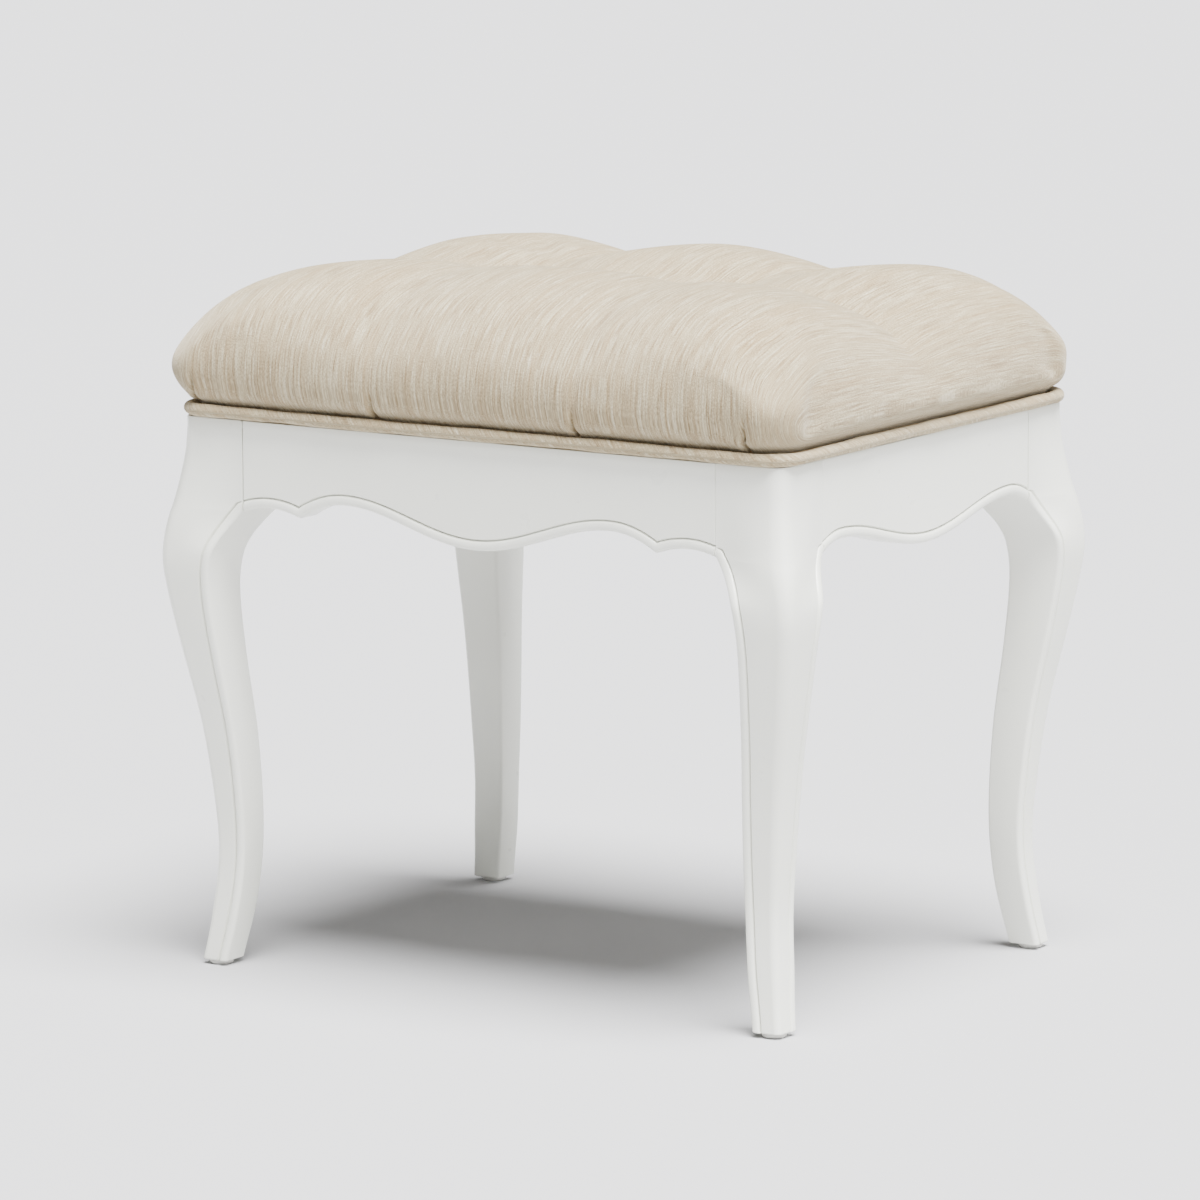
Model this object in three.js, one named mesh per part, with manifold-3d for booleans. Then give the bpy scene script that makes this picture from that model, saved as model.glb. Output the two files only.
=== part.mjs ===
// Upholstered dressing stool on four cabriole legs.
// Millimetres, +Z up. The origin is on the floor under the middle of the seat,
// X runs along the width and -Y is the front.

import * as THREE from 'three';
import * as BufferGeometryUtils from 'three/addons/utils/BufferGeometryUtils.js';
import Module from 'manifold-3d';

const wasm = await Module();
wasm.setup();

// ---------------------------------------------------------------- driving dimensions

const FRAME_WIDTH = 460;
const FRAME_DEPTH = 355;
const FRAME_TOP = 365;
const GAP = 0.3; // between pieces that touch

const CUT_PAST = 5; // how far a cutting rod runs past the face it opens

const POST = 48.5; // side of the square post above each knee
const CORNER_ROUND_SHARE = 0.22; // outer corner's radius as a share of a leg's side
const BACK_CHAMFER_SHARE = 0.08; // inner corner's chamfer as a share of a leg's side
const KNEE_FADE = [275, 312]; // heights between which the knee's swell dies out at the inner edge
const APRON_THICKNESS = 20;
const SEAM_EDGE_Z = 305.5; // where the apron's lower edge meets the post

const GLIDE_HEIGHT = 3;
const GLIDE_RADIUS = 8;
const NAIL_RADIUS = 1.1;
const NAIL_LENGTH = 14;
const NAIL_POINT = 3;

const BEAD_WIDTH = 6.5; // from the lower or inner edge to the groove
const GROOVE_HALF_WIDTH = 1.3;
const GROOVE_DEPTH = 1.4;
const EDGE_ROUND = 1.2;
const ROUND_STEPS = 3; // facets of a leg's rounded outer corner

const DOWEL_RADIUS = 4;
const DOWEL_LENGTH = 36;
const DOWEL_HEIGHTS = [327, 352];
const DOWEL_INSET = APRON_THICKNESS / 2;

const BLOCK_BOTTOM = 322;
const BLOCK_TOP = 361;
const BLOCK_NEAR = 99; // a + b of the face that looks at the post
const BLOCK_FAR = 139; // a + b of the face that looks at the room
const BOLT_RADIUS = 4;
const BOLT_Z = 340;
const BOLT_START = 50; // a + b at the bolt's tip inside the post
const BOLT_END = 155; // a + b at its free end
const BOLT_POINT = [[2, 2.5], [BOLT_RADIUS, 6]]; // [radius, distance from the tip]
const NUT_HALF_FLATS = 6.5;
const NUT_HEIGHT = 6.5;
const WASHER_RADIUS = 10;
const WASHER_THICKNESS = 1.6;
const SCREW_RADIUS = 2.2;
const SCREW_HEAD_RADIUS = 4.5;
const SCREW_HEAD_HEIGHT = 2.6;
const SCREW_TIP_Z = 375;
const SCREW_POINT = 5;
const SCREW_SIDE_STEP = 14; // along the block, away from the bolt

const BOARD_INSET = 5;
const BOARD_BOTTOM = 366.3;
const BOARD_THICKNESS = 12;
const BOARD_CORNER = 18;
const KNOT_POCKET_DEPTH = 5;
const KNOT_POCKET_CLEARANCE = 1.5;
const DUST_COVER_INSET = 9;
const DUST_COVER_THICKNESS = 0.6;
const DUST_COVER_CORNER = 14;

const COVER_BOTTOM = 366;
const COVER_THICKNESS = 2.4;
const WELT_RADIUS = 4.2;
const WELT_Z = 370.2;
const WELT_INSET = -2.2; // centre line stands outside the frame's faces
const WELT_CORNER = 22;

const TUFT_X = 77;
const TUFT_BOTTOM_Z = 424;
const TUFT_MOUTH_RADIUS = 34;
const TUFT_FLOOR_RADIUS = 11;
const TUFT_RISE = 36;
const TUFT_CUT_HEIGHT = 60;
const BUTTON_RADIUS = 10;
const TWINE_RADIUS = 1.2;
const TWINE_KNOT_RADIUS = 4;
const TWINE_HOLE = [300, 470]; // heights that the twine's passage is cut between

// Outer face of a leg: [height, distance outside the frame's face].
const LEG_OUTER_EDGE = [
  [0, -5.6], [30, -10], [75, -13.8], [120, -11], [165, -5.6], [215, 3.6],
  [250, 9.6], [272, 12], [295, 10.2], [317, 5.4], [340, 1.3], [358, 0],
];

// Inner edge of a leg: [height, distance inside the frame's face].
const LEG_INNER_EDGE = [
  [0, 26], [45, 34], [90, 37], [150, 35.2], [206, 30.2], [250, 27.7],
  [272, 29.5], [284, 33.6], [295, 40.5], [SEAM_EDGE_Z, POST],
];

// Heights of the cross-sections that a leg is lofted through.
const LEG_LEVELS = [
  GLIDE_HEIGHT + GAP, 20, 42, 66, 92, 120, 148, 176, 202, 224, 242, 257, 269, 279, 287, 294,
  300, SEAM_EDGE_Z, 308.5, 311.4, 313, 322, 333, 346, FRAME_TOP,
];
const GROOVE_START_Z = 311.4; // the groove leaves the leg through the seam at this height

// Seat outline by height: [z, distance outside the frame's face, corner radius].
const SEAT_OUTLINE = [
  [COVER_BOTTOM, -2.4, 20], [374.5, -2.4, 20], [381, 5, 24], [390, 9.5, 27], [401, 11, 29],
  [413, 8.5, 31], [425, 2, 34], [436, -10, 38], [446, -28, 44], [453.5, -52, 50],
  [458.5, -84, 56], [461, -124, 46],
];

// ---------------------------------------------------------------- materials

const paint = new THREE.MeshStandardMaterial({ color: 0xf1f0e8, roughness: 0.42, metalness: 0 });
const fabric = new THREE.MeshStandardMaterial({ color: 0xded2bf, roughness: 0.95, metalness: 0 });
const bareWood = new THREE.MeshStandardMaterial({ color: 0xc9a676, roughness: 0.7, metalness: 0 });
const plywood = new THREE.MeshStandardMaterial({ color: 0xd3b88c, roughness: 0.75, metalness: 0 });
const foam = new THREE.MeshStandardMaterial({ color: 0xf0e6b8, roughness: 0.95, metalness: 0 });
const zincSteel = new THREE.MeshStandardMaterial({ color: 0xb9bcc0, roughness: 0.35, metalness: 1 });
const blackCloth = new THREE.MeshStandardMaterial({ color: 0x1d1d1f, roughness: 0.9, metalness: 0 });
const nylon = new THREE.MeshStandardMaterial({ color: 0xe9e7e0, roughness: 0.5, metalness: 0 });
const twine = new THREE.MeshStandardMaterial({ color: 0xcfc4ad, roughness: 0.9, metalness: 0 });

// ---------------------------------------------------------------- helpers

const group = new THREE.Group();

function addMesh(parent, name, geometry, material) {
  const mesh = new THREE.Mesh(geometry, material);
  mesh.name = name;
  parent.add(mesh);
  return mesh;
}

// Value of a smooth curve through [height, value] points; constant beyond its ends.
function valueAt(points, height) {
  const last = points.length - 1;
  if (height <= points[0][0]) return points[0][1];
  if (height >= points[last][0]) return points[last][1];
  const slope = (i) => {
    const before = points[Math.max(i - 1, 0)];
    const after = points[Math.min(i + 1, last)];
    return (after[1] - before[1]) / (after[0] - before[0]);
  };
  const i = points.findIndex((point) => point[0] > height) - 1;
  const span = points[i + 1][0] - points[i][0];
  const t = (height - points[i][0]) / span;
  const rise = t * t * (3 - 2 * t);
  const leave = t * (1 - t) * (1 - t) * span;
  const arrive = t * t * (t - 1) * span;
  const level = points[i][1] * (1 - rise) + points[i + 1][1] * rise;
  return level + slope(i) * leave + slope(i + 1) * arrive;
}

function signedVolume(positions, indices) {
  const a = new THREE.Vector3();
  const b = new THREE.Vector3();
  const c = new THREE.Vector3();
  let total = 0;
  for (let i = 0; i < indices.length; i += 3) {
    a.fromArray(positions, indices[i] * 3);
    b.fromArray(positions, indices[i + 1] * 3);
    c.fromArray(positions, indices[i + 2] * 3);
    total += a.dot(b.cross(c));
  }
  return total / 6;
}

// Closed body through rings of [x, y, z] points, with flat ends. flatten turns an end's points
// into the plane that its cap is cut in.
function loft(rings, flatten) {
  const count = rings[0].length;
  const positions = rings.flat(2);
  const indices = [];
  for (let r = 0; r + 1 < rings.length; r += 1) {
    for (let k = 0; k < count; k += 1) {
      const next = (k + 1) % count;
      const low = r * count;
      const high = low + count;
      indices.push(low + k, low + next, high + next, low + k, high + next, high + k);
    }
  }
  // The wall runs along each ring, so the first cap's triangles turn against their ring.
  const cap = (ring, offset, direction) => {
    const outline = ring.map((point) => new THREE.Vector2(...flatten(point)));
    const wanted = direction * Math.sign(THREE.ShapeUtils.area(outline));
    for (const [i, j, k] of THREE.ShapeUtils.triangulateShape(outline, [])) {
      const turn = Math.sign(THREE.ShapeUtils.area([outline[i], outline[j], outline[k]]));
      if (turn === wanted) indices.push(offset + i, offset + j, offset + k);
      else indices.push(offset + i, offset + k, offset + j);
    }
  };
  cap(rings[0], 0, -1);
  cap(rings[rings.length - 1], (rings.length - 1) * count, 1);
  if (signedVolume(positions, indices) < 0) indices.reverse();
  const geometry = new THREE.BufferGeometry();
  geometry.setAttribute('position', new THREE.Float32BufferAttribute(positions, 3));
  geometry.setIndex(indices);
  geometry.computeVertexNormals();
  return geometry;
}

function toSolid(geometry) {
  const bare = geometry.clone();
  bare.deleteAttribute('normal');
  bare.deleteAttribute('uv');
  const merged = BufferGeometryUtils.mergeVertices(bare, 1e-4);
  return new wasm.Manifold(new wasm.Mesh({
    numProp: 3,
    vertProperties: new Float32Array(merged.attributes.position.array),
    triVerts: new Uint32Array(merged.index.array),
  }));
}

function fromSolid(solid) {
  const mesh = solid.getMesh();
  const geometry = new THREE.BufferGeometry();
  geometry.setAttribute('position', new THREE.BufferAttribute(mesh.vertProperties, 3));
  geometry.setIndex(new THREE.BufferAttribute(mesh.triVerts, 1));
  geometry.computeVertexNormals();
  return geometry;
}

function cutHoles(geometry, cutters) {
  const solid = cutters.reduce((body, cutter) => body.subtract(toSolid(cutter)), toSolid(geometry));
  return fromSolid(solid);
}

// Round rod between two points.
function rod(start, end, radius, sides = 10) {
  const from = new THREE.Vector3(...start);
  const to = new THREE.Vector3(...end);
  const along = to.clone().sub(from);
  const geometry = new THREE.CylinderGeometry(radius, radius, along.length(), sides);
  const turn = new THREE.Quaternion().setFromUnitVectors(new THREE.Vector3(0, 1, 0), along.normalize());
  geometry.applyQuaternion(turn);
  geometry.translate(...from.add(to).multiplyScalar(0.5).toArray());
  return geometry;
}

// Solid of revolution about a vertical axis from [radius, z] points that start and end on the axis.
function turned(profile, sides = 16) {
  const points = profile.map(([radius, z]) => new THREE.Vector2(radius, z));
  return new THREE.LatheGeometry(points, sides).rotateX(Math.PI / 2);
}

// Rounded rectangle around the frame: grow is the distance outside the frame's faces.
function seatRing(z, grow, radius, stepsPerCorner = 5) {
  const halfX = FRAME_WIDTH / 2 + grow;
  const halfY = FRAME_DEPTH / 2 + grow;
  const corners = [[1, 1], [-1, 1], [-1, -1], [1, -1]];
  return corners.flatMap(([sx, sy], quarter) => {
    const ring = [];
    for (let i = 0; i <= stepsPerCorner; i += 1) {
      const angle = (quarter + i / stepsPerCorner) * (Math.PI / 2);
      const x = sx * (halfX - radius) + radius * Math.cos(angle);
      const y = sy * (halfY - radius) + radius * Math.sin(angle);
      ring.push([x, y, z]);
    }
    return ring;
  });
}

const planOf = ([x, y]) => [x, y];

// ---------------------------------------------------------------- legs

// A leg is drawn in its own corner: a and b run inward from the frame's two outer faces.

const innerEdge = (z) => valueAt(LEG_INNER_EDGE, z);
const outerEdge = (z) => valueAt(LEG_OUTER_EDGE, z);
const FOOT_CENTRE = (innerEdge(0) - outerEdge(0)) / 2;

// The knee's swell fades out towards the seam, so that post and apron stay flush there.
function flushness(z) {
  return 1 - THREE.MathUtils.smoothstep(z, ...KNEE_FADE);
}

// Where the groove runs: BEAD_WIDTH from the nearest point of the edge.
function groovePlace(z) {
  const edge = innerEdge(z);
  let place = edge - BEAD_WIDTH;
  for (let drop = -BEAD_WIDTH; drop <= BEAD_WIDTH; drop += 0.5) {
    if (z + drop <= SEAM_EDGE_Z) {
      place = Math.min(place, innerEdge(z + drop) - Math.sqrt(BEAD_WIDTH ** 2 - drop ** 2));
    }
  }
  if (z > SEAM_EDGE_Z) place = edge - BEAD_WIDTH + (z - SEAM_EDGE_Z) ** 2 / (2 * BEAD_WIDTH);
  return Math.min(place, edge - GROOVE_HALF_WIDTH - EDGE_ROUND - 0.2);
}

function legSection(z) {
  const edge = innerEdge(z);
  const swell = outerEdge(z);
  const edgeSwell = swell * flushness(z) + (swell < 0 ? swell * (1 - flushness(z)) : 0);
  const round = CORNER_ROUND_SHARE * (edge + swell);
  const groove = z > GROOVE_START_Z ? edge - BEAD_WIDTH : groovePlace(z);
  const depth = z > GROOVE_START_Z ? 0 : GROOVE_DEPTH;
  const faceStart = round - swell;
  const faceAt = (a) => {
    const t = THREE.MathUtils.clamp((a - faceStart) / (edge - faceStart), 0, 1);
    return -THREE.MathUtils.lerp(swell, edgeSwell, t);
  };
  const middle = (faceStart + groove) / 2;
  // Points on the front face from the rounded corner to the inner edge.
  const face = [
    [middle, faceAt(middle)],
    [groove - GROOVE_HALF_WIDTH, faceAt(groove - GROOVE_HALF_WIDTH)],
    [groove, faceAt(groove) + depth],
    [groove + GROOVE_HALF_WIDTH, faceAt(groove + GROOVE_HALF_WIDTH)],
    [edge - EDGE_ROUND, faceAt(edge)],
    [edge, faceAt(edge) + EDGE_ROUND],
  ];
  const corner = [];
  for (let i = 0; i <= ROUND_STEPS; i += 1) {
    const angle = (i / ROUND_STEPS) * (Math.PI / 2);
    const a = faceStart - round * Math.sin(angle);
    const b = faceStart - round * Math.cos(angle);
    corner.push([a, b]);
  }
  const chamfer = BACK_CHAMFER_SHARE * (edge + swell);
  const back = [[edge, edge - chamfer], [edge - chamfer, edge]];
  const sideFace = face.map(([a, b]) => [b, a]);
  return [...corner, ...sideFace, ...back.reverse(), ...face.reverse()];
}

function legGeometry(sx, sy) {
  const rings = LEG_LEVELS.map((z) => legSection(z).map(([a, b]) => [-sx * a, -sy * b, z]));
  const inward = (a, b, z) => [-sx * a, -sy * b, z];
  const cutters = DOWEL_HEIGHTS.flatMap((z) => {
    const deep = POST - DOWEL_LENGTH / 2 - 2 * GAP;
    const open = POST + CUT_PAST;
    return [
      rod(inward(deep, DOWEL_INSET, z), inward(open, DOWEL_INSET, z), DOWEL_RADIUS + GAP),
      rod(inward(DOWEL_INSET, deep, z), inward(DOWEL_INSET, open, z), DOWEL_RADIUS + GAP),
    ];
  });
  const tip = BOLT_START / 2 - 1;
  const boltExit = POST + CUT_PAST;
  cutters.push(rod(inward(tip, tip, BOLT_Z), inward(boltExit, boltExit, BOLT_Z), BOLT_RADIUS + GAP));
  const nailTop = GLIDE_HEIGHT + NAIL_LENGTH + 1;
  const foot = FOOT_CENTRE;
  cutters.push(rod(inward(foot, foot, 0), inward(foot, foot, nailTop), NAIL_RADIUS + GAP, 6));
  return cutHoles(loft(rings, planOf), cutters);
}

function glideGeometry() {
  return turned([
    [0, 0], [GLIDE_RADIUS - 1, 0], [GLIDE_RADIUS, 1], [GLIDE_RADIUS, GLIDE_HEIGHT - 0.6],
    [GLIDE_RADIUS - 0.6, GLIDE_HEIGHT], [NAIL_RADIUS, GLIDE_HEIGHT],
    [NAIL_RADIUS, GLIDE_HEIGHT + NAIL_LENGTH - NAIL_POINT], [0, GLIDE_HEIGHT + NAIL_LENGTH],
  ], 12);
}

// ---------------------------------------------------------------- aprons

// Distance along an apron is measured from its middle. Each outline below gives the height of
// the lower edge's groove line, which is a broad belly between raised shoulders.

const cosineBlend = (from, to, t) => from + (to - from) * (0.5 - 0.5 * Math.cos(Math.PI * t));
const parabola = (from, to, t) => from + (to - from) * t * t;

const WIDE_APRON = { half: FRAME_WIDTH / 2 - POST, shoulder: 101.6, cusp: 137.4, crest: 160.6 };
const WIDE_HEIGHTS = { belly: 301.1, shoulder: 322, cusp: 311.4, crest: 315.4, end: 312 };
const DEEP_APRON = { half: FRAME_DEPTH / 2 - POST, shoulder: 105 };
const DEEP_HEIGHTS = { belly: 301.6, shoulder: 318.2, end: 312 };

function wideGrooveLine(x) {
  const d = Math.abs(x);
  const { half, shoulder, cusp, crest } = WIDE_APRON;
  const height = WIDE_HEIGHTS;
  if (d < shoulder) return cosineBlend(height.belly, height.shoulder, d / shoulder);
  if (d < cusp) return parabola(height.shoulder, height.cusp, (d - shoulder) / (cusp - shoulder));
  if (d < crest) return parabola(height.crest, height.cusp, (crest - d) / (crest - cusp));
  return parabola(height.crest, height.end, (d - crest) / (half - crest));
}

function deepGrooveLine(y) {
  const d = Math.abs(y);
  const { half, shoulder } = DEEP_APRON;
  const height = DEEP_HEIGHTS;
  if (d < shoulder) return cosineBlend(height.belly, height.shoulder, d / shoulder);
  return parabola(height.shoulder, height.end, (d - shoulder) / (half - shoulder));
}

// Stations along half an apron, closer together where the edge turns sharply.
const WIDE_STATIONS = [0, 16, 32, 48, 62, 74, 84, 93, 101.6, 109, 116, 123, 130, 135, 137.4,
  141, 147, 154, 160.6, 168, 175];
const DEEP_STATIONS = [0, 15, 30, 45, 58, 70, 80, 89, 97, 105, 112, 119];

function apronRing(groove) {
  const edge = groove - BEAD_WIDTH;
  return [
    [0, FRAME_TOP],
    [0, groove + GROOVE_HALF_WIDTH],
    [GROOVE_DEPTH, groove],
    [0, groove - GROOVE_HALF_WIDTH],
    [0, edge + EDGE_ROUND],
    [EDGE_ROUND, edge],
    [APRON_THICKNESS, edge],
    [APRON_THICKNESS, FRAME_TOP],
  ];
}

// An apron lies along u; its outer face looks along -v before it is turned into place.
function apronGeometry(stations, half, grooveLine) {
  const end = half - GAP;
  const positive = [...stations, end];
  const all = [...positive.slice(1).reverse().map((u) => -u), ...positive];
  const rings = all.map((u) => apronRing(grooveLine(u)).map(([v, z]) => [u, v, z]));
  const cutters = [-1, 1].flatMap((side) => DOWEL_HEIGHTS.map((z) => rod(
    [side * (half + CUT_PAST), DOWEL_INSET, z],
    [side * (half - DOWEL_LENGTH / 2 - 2 * GAP), DOWEL_INSET, z],
    DOWEL_RADIUS + GAP,
  )));
  return cutHoles(loft(rings, ([, v, z]) => [v, z]), cutters);
}

function addApron(name, geometry, x, y, turn) {
  const mesh = addMesh(group, name, geometry, paint);
  mesh.position.set(x, y, 0);
  mesh.rotation.z = turn;
}

// ---------------------------------------------------------------- corner joinery

// The diagonal through a corner, at a distance of sum = a + b, with a sideways step.
const onDiagonal = (sx, sy, sum, z, step = 0) => [-sx * (sum / 2 + step), -sy * (sum / 2 - step), z];

const screwStep = SCREW_SIDE_STEP / Math.SQRT2;
const blockMiddle = (BLOCK_NEAR + BLOCK_FAR) / 2;

function cornerBlockGeometry(sx, sy) {
  const reach = APRON_THICKNESS + GAP;
  const plan = [
    [BLOCK_NEAR - reach, reach], [BLOCK_FAR - reach, reach],
    [reach, BLOCK_FAR - reach], [reach, BLOCK_NEAR - reach],
  ];
  const rings = [BLOCK_BOTTOM, BLOCK_TOP].map((z) => plan.map(([a, b]) => [-sx * a, -sy * b, z]));
  const bolt = rod(
    onDiagonal(sx, sy, BLOCK_NEAR - 2 * CUT_PAST, BOLT_Z),
    onDiagonal(sx, sy, BLOCK_FAR + 2 * CUT_PAST, BOLT_Z),
    BOLT_RADIUS + GAP,
  );
  const screw = rod(
    onDiagonal(sx, sy, blockMiddle, BLOCK_BOTTOM - CUT_PAST, screwStep),
    onDiagonal(sx, sy, blockMiddle, BLOCK_TOP + CUT_PAST, screwStep),
    SCREW_RADIUS + GAP,
    8,
  );
  return cutHoles(loft(rings, planOf), [bolt, screw]);
}

// A piece of revolution on the bolt's axis, from [radius, distance along it] points.
function alongBolt(geometry, sx, sy, sum) {
  const axis = new THREE.Vector3(-sx, -sy, 0).normalize();
  const turn = new THREE.Quaternion().setFromUnitVectors(new THREE.Vector3(0, 0, 1), axis);
  geometry.applyQuaternion(turn);
  geometry.translate(...onDiagonal(sx, sy, sum, BOLT_Z));
  return geometry;
}

function legBoltGeometry(sx, sy) {
  const length = (BOLT_END - BOLT_START) / Math.SQRT2;
  const end = [[BOLT_RADIUS, length - 1], [BOLT_RADIUS - 1, length], [0, length]];
  const profile = [[0, 0], ...BOLT_POINT, ...end];
  return alongBolt(turned(profile, 12), sx, sy, BOLT_START);
}

function washerGeometry(sx, sy) {
  const inner = BOLT_RADIUS + GAP;
  const outer = WASHER_RADIUS;
  const top = WASHER_THICKNESS;
  const profile = [[inner, 0], [outer, 0], [outer, top], [inner, top], [inner, 0]];
  return alongBolt(turned(profile, 12), sx, sy, BLOCK_FAR + GAP * Math.SQRT2);
}

function nutGeometry(sx, sy) {
  const outline = new THREE.Shape();
  const cornerRadius = NUT_HALF_FLATS / Math.cos(Math.PI / 6);
  for (let i = 0; i < 6; i += 1) {
    const angle = (i * Math.PI) / 3;
    const point = [cornerRadius * Math.cos(angle), cornerRadius * Math.sin(angle)];
    if (i === 0) outline.moveTo(...point);
    else outline.lineTo(...point);
  }
  outline.closePath();
  const hole = new THREE.Path();
  hole.absarc(0, 0, BOLT_RADIUS + GAP, 0, 2 * Math.PI);
  outline.holes.push(hole);
  const settings = { depth: NUT_HEIGHT, bevelEnabled: false, curveSegments: 8 };
  const geometry = new THREE.ExtrudeGeometry(outline, settings);
  const seat = BLOCK_FAR + (2 * GAP + WASHER_THICKNESS) * Math.SQRT2;
  return alongBolt(geometry, sx, sy, seat);
}

function seatScrewGeometry() {
  const head = BLOCK_BOTTOM - GAP;
  return turned([
    [0, head - SCREW_HEAD_HEIGHT], [SCREW_HEAD_RADIUS - 1, head - SCREW_HEAD_HEIGHT + 0.4],
    [SCREW_HEAD_RADIUS, head - 1], [SCREW_HEAD_RADIUS, head],
    [SCREW_RADIUS, head], [SCREW_RADIUS, SCREW_TIP_Z - SCREW_POINT], [0, SCREW_TIP_Z],
  ], 10);
}

// ---------------------------------------------------------------- seat

// The seat's outer form, moved inward by inset square to its surface, and reaching down to bottom.
function seatDome(inset, bottom) {
  const last = SEAT_OUTLINE.length - 1;
  const rings = SEAT_OUTLINE.map(([z, out, radius], index) => {
    const [zBefore, outBefore] = SEAT_OUTLINE[Math.max(index - 1, 0)];
    const [zAfter, outAfter] = SEAT_OUTLINE[Math.min(index + 1, last)];
    const normal = new THREE.Vector2(zAfter - zBefore, outBefore - outAfter).normalize();
    const height = index === 0 ? bottom : z - inset * normal.y;
    return seatRing(height, out - inset * normal.x, radius - inset);
  });
  return loft(rings, planOf);
}

// Funnel that a tuft pulls into the seat, open upward.
function tuftFunnel(extra) {
  const floor = TUFT_BOTTOM_Z - extra;
  return turned([
    [0, floor], [TUFT_FLOOR_RADIUS + extra, floor], [TUFT_MOUTH_RADIUS + extra, floor + TUFT_RISE],
    [TUFT_MOUTH_RADIUS + extra, floor + TUFT_CUT_HEIGHT], [0, floor + TUFT_CUT_HEIGHT],
  ], 12);
}

function atTufts(makeGeometry) {
  return [-1, 1].map((side) => makeGeometry().translate(side * TUFT_X, 0, 0));
}

function twineHole() {
  const [low, high] = TWINE_HOLE;
  return rod([0, 0, low], [0, 0, high], TWINE_RADIUS + GAP, 8);
}

function seatCoverGeometry() {
  const outer = cutHoles(seatDome(0, COVER_BOTTOM), atTufts(() => tuftFunnel(0)));
  const lining = seatDome(COVER_THICKNESS, COVER_BOTTOM - 2 * CUT_PAST);
  const inner = cutHoles(lining, atTufts(() => tuftFunnel(COVER_THICKNESS)));
  return cutHoles(outer, [inner, ...atTufts(twineHole)]);
}

function foamGeometry() {
  const inset = COVER_THICKNESS + GAP;
  const underside = BOARD_BOTTOM + BOARD_THICKNESS + GAP;
  const clearance = slab(COVER_BOTTOM, underside - COVER_BOTTOM, -BOARD_CORNER, BOARD_CORNER);
  const dome = seatDome(inset, COVER_BOTTOM + GAP);
  return cutHoles(dome, [clearance, ...atTufts(() => tuftFunnel(inset)), ...atTufts(twineHole)]);
}

function slab(z, thickness, inset, radius) {
  return loft([z, z + thickness].map((level) => seatRing(level, -inset, radius, 3)), planOf);
}

const corners = [
  { name: 'front_left', sx: -1, sy: -1 },
  { name: 'front_right', sx: 1, sy: -1 },
  { name: 'back_left', sx: -1, sy: 1 },
  { name: 'back_right', sx: 1, sy: 1 },
];

const cornerOrigin = (sx, sy) => [sx * (FRAME_WIDTH / 2), sy * (FRAME_DEPTH / 2), 0];

// Holes for the seat screws, in the seat's own frame.
function screwHoles(low, high) {
  return corners.map(({ sx, sy }) => {
    const origin = cornerOrigin(sx, sy);
    const [x, y] = onDiagonal(sx, sy, blockMiddle, 0, screwStep);
    const place = [origin[0] + x, origin[1] + y];
    return rod([...place, low], [...place, high], SCREW_RADIUS + GAP, 8);
  });
}

function seatBoardGeometry() {
  const board = slab(BOARD_BOTTOM, BOARD_THICKNESS, BOARD_INSET, BOARD_CORNER);
  const below = BOARD_BOTTOM - CUT_PAST;
  const pocketTop = BOARD_BOTTOM + KNOT_POCKET_DEPTH;
  const pocketRadius = TWINE_KNOT_RADIUS + KNOT_POCKET_CLEARANCE;
  const pockets = atTufts(() => rod([0, 0, below], [0, 0, pocketTop], pocketRadius, 12));
  return cutHoles(board, [...pockets, ...atTufts(twineHole), ...screwHoles(below, SCREW_TIP_Z + 1)]);
}

function dustCoverGeometry() {
  const bottom = FRAME_TOP + GAP;
  const sheet = slab(bottom, DUST_COVER_THICKNESS, DUST_COVER_INSET, DUST_COVER_CORNER);
  return cutHoles(sheet, screwHoles(bottom - CUT_PAST, bottom + CUT_PAST));
}

// Piping round the foot of the cushion, a closed ring of round section.
function weltGeometry() {
  const sides = 8;
  const centre = seatRing(WELT_Z, -WELT_INSET, WELT_CORNER, 5);
  const count = centre.length;
  const positions = [];
  const indices = [];
  centre.forEach(([x, y], i) => {
    const [px, py] = centre[(i + count - 1) % count];
    const [nx, ny] = centre[(i + 1) % count];
    const outward = new THREE.Vector2(ny - py, px - nx).normalize();
    for (let k = 0; k < sides; k += 1) {
      const angle = (k / sides) * 2 * Math.PI;
      const reach = WELT_RADIUS * Math.cos(angle);
      const z = WELT_Z + WELT_RADIUS * Math.sin(angle);
      positions.push(x + outward.x * reach, y + outward.y * reach, z);
    }
  });
  for (let i = 0; i < count; i += 1) {
    const here = i * sides;
    const there = ((i + 1) % count) * sides;
    for (let k = 0; k < sides; k += 1) {
      const next = (k + 1) % sides;
      indices.push(here + k, there + k, there + next, here + k, there + next, here + next);
    }
  }
  if (signedVolume(positions, indices) < 0) indices.reverse();
  const geometry = new THREE.BufferGeometry();
  geometry.setAttribute('position', new THREE.Float32BufferAttribute(positions, 3));
  geometry.setIndex(indices);
  geometry.computeVertexNormals();
  return geometry;
}

function buttonGeometry() {
  const floor = TUFT_BOTTOM_Z + GAP;
  return turned([
    [0, floor], [BUTTON_RADIUS - 2, floor], [BUTTON_RADIUS, floor + 2], [BUTTON_RADIUS - 1, floor + 4.5],
    [BUTTON_RADIUS - 5, floor + 6.5], [0, floor + 7],
  ], 16);
}

function twineGeometry() {
  const knot = BOARD_BOTTOM + 0.5;
  const top = TUFT_BOTTOM_Z;
  return turned([
    [0, knot], [TWINE_KNOT_RADIUS - 1, knot], [TWINE_KNOT_RADIUS, knot + 1.5],
    [TWINE_KNOT_RADIUS - 1, knot + 3], [TWINE_RADIUS, knot + 3.6], [TWINE_RADIUS, top], [0, top],
  ], 10);
}

// ---------------------------------------------------------------- assembly

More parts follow.
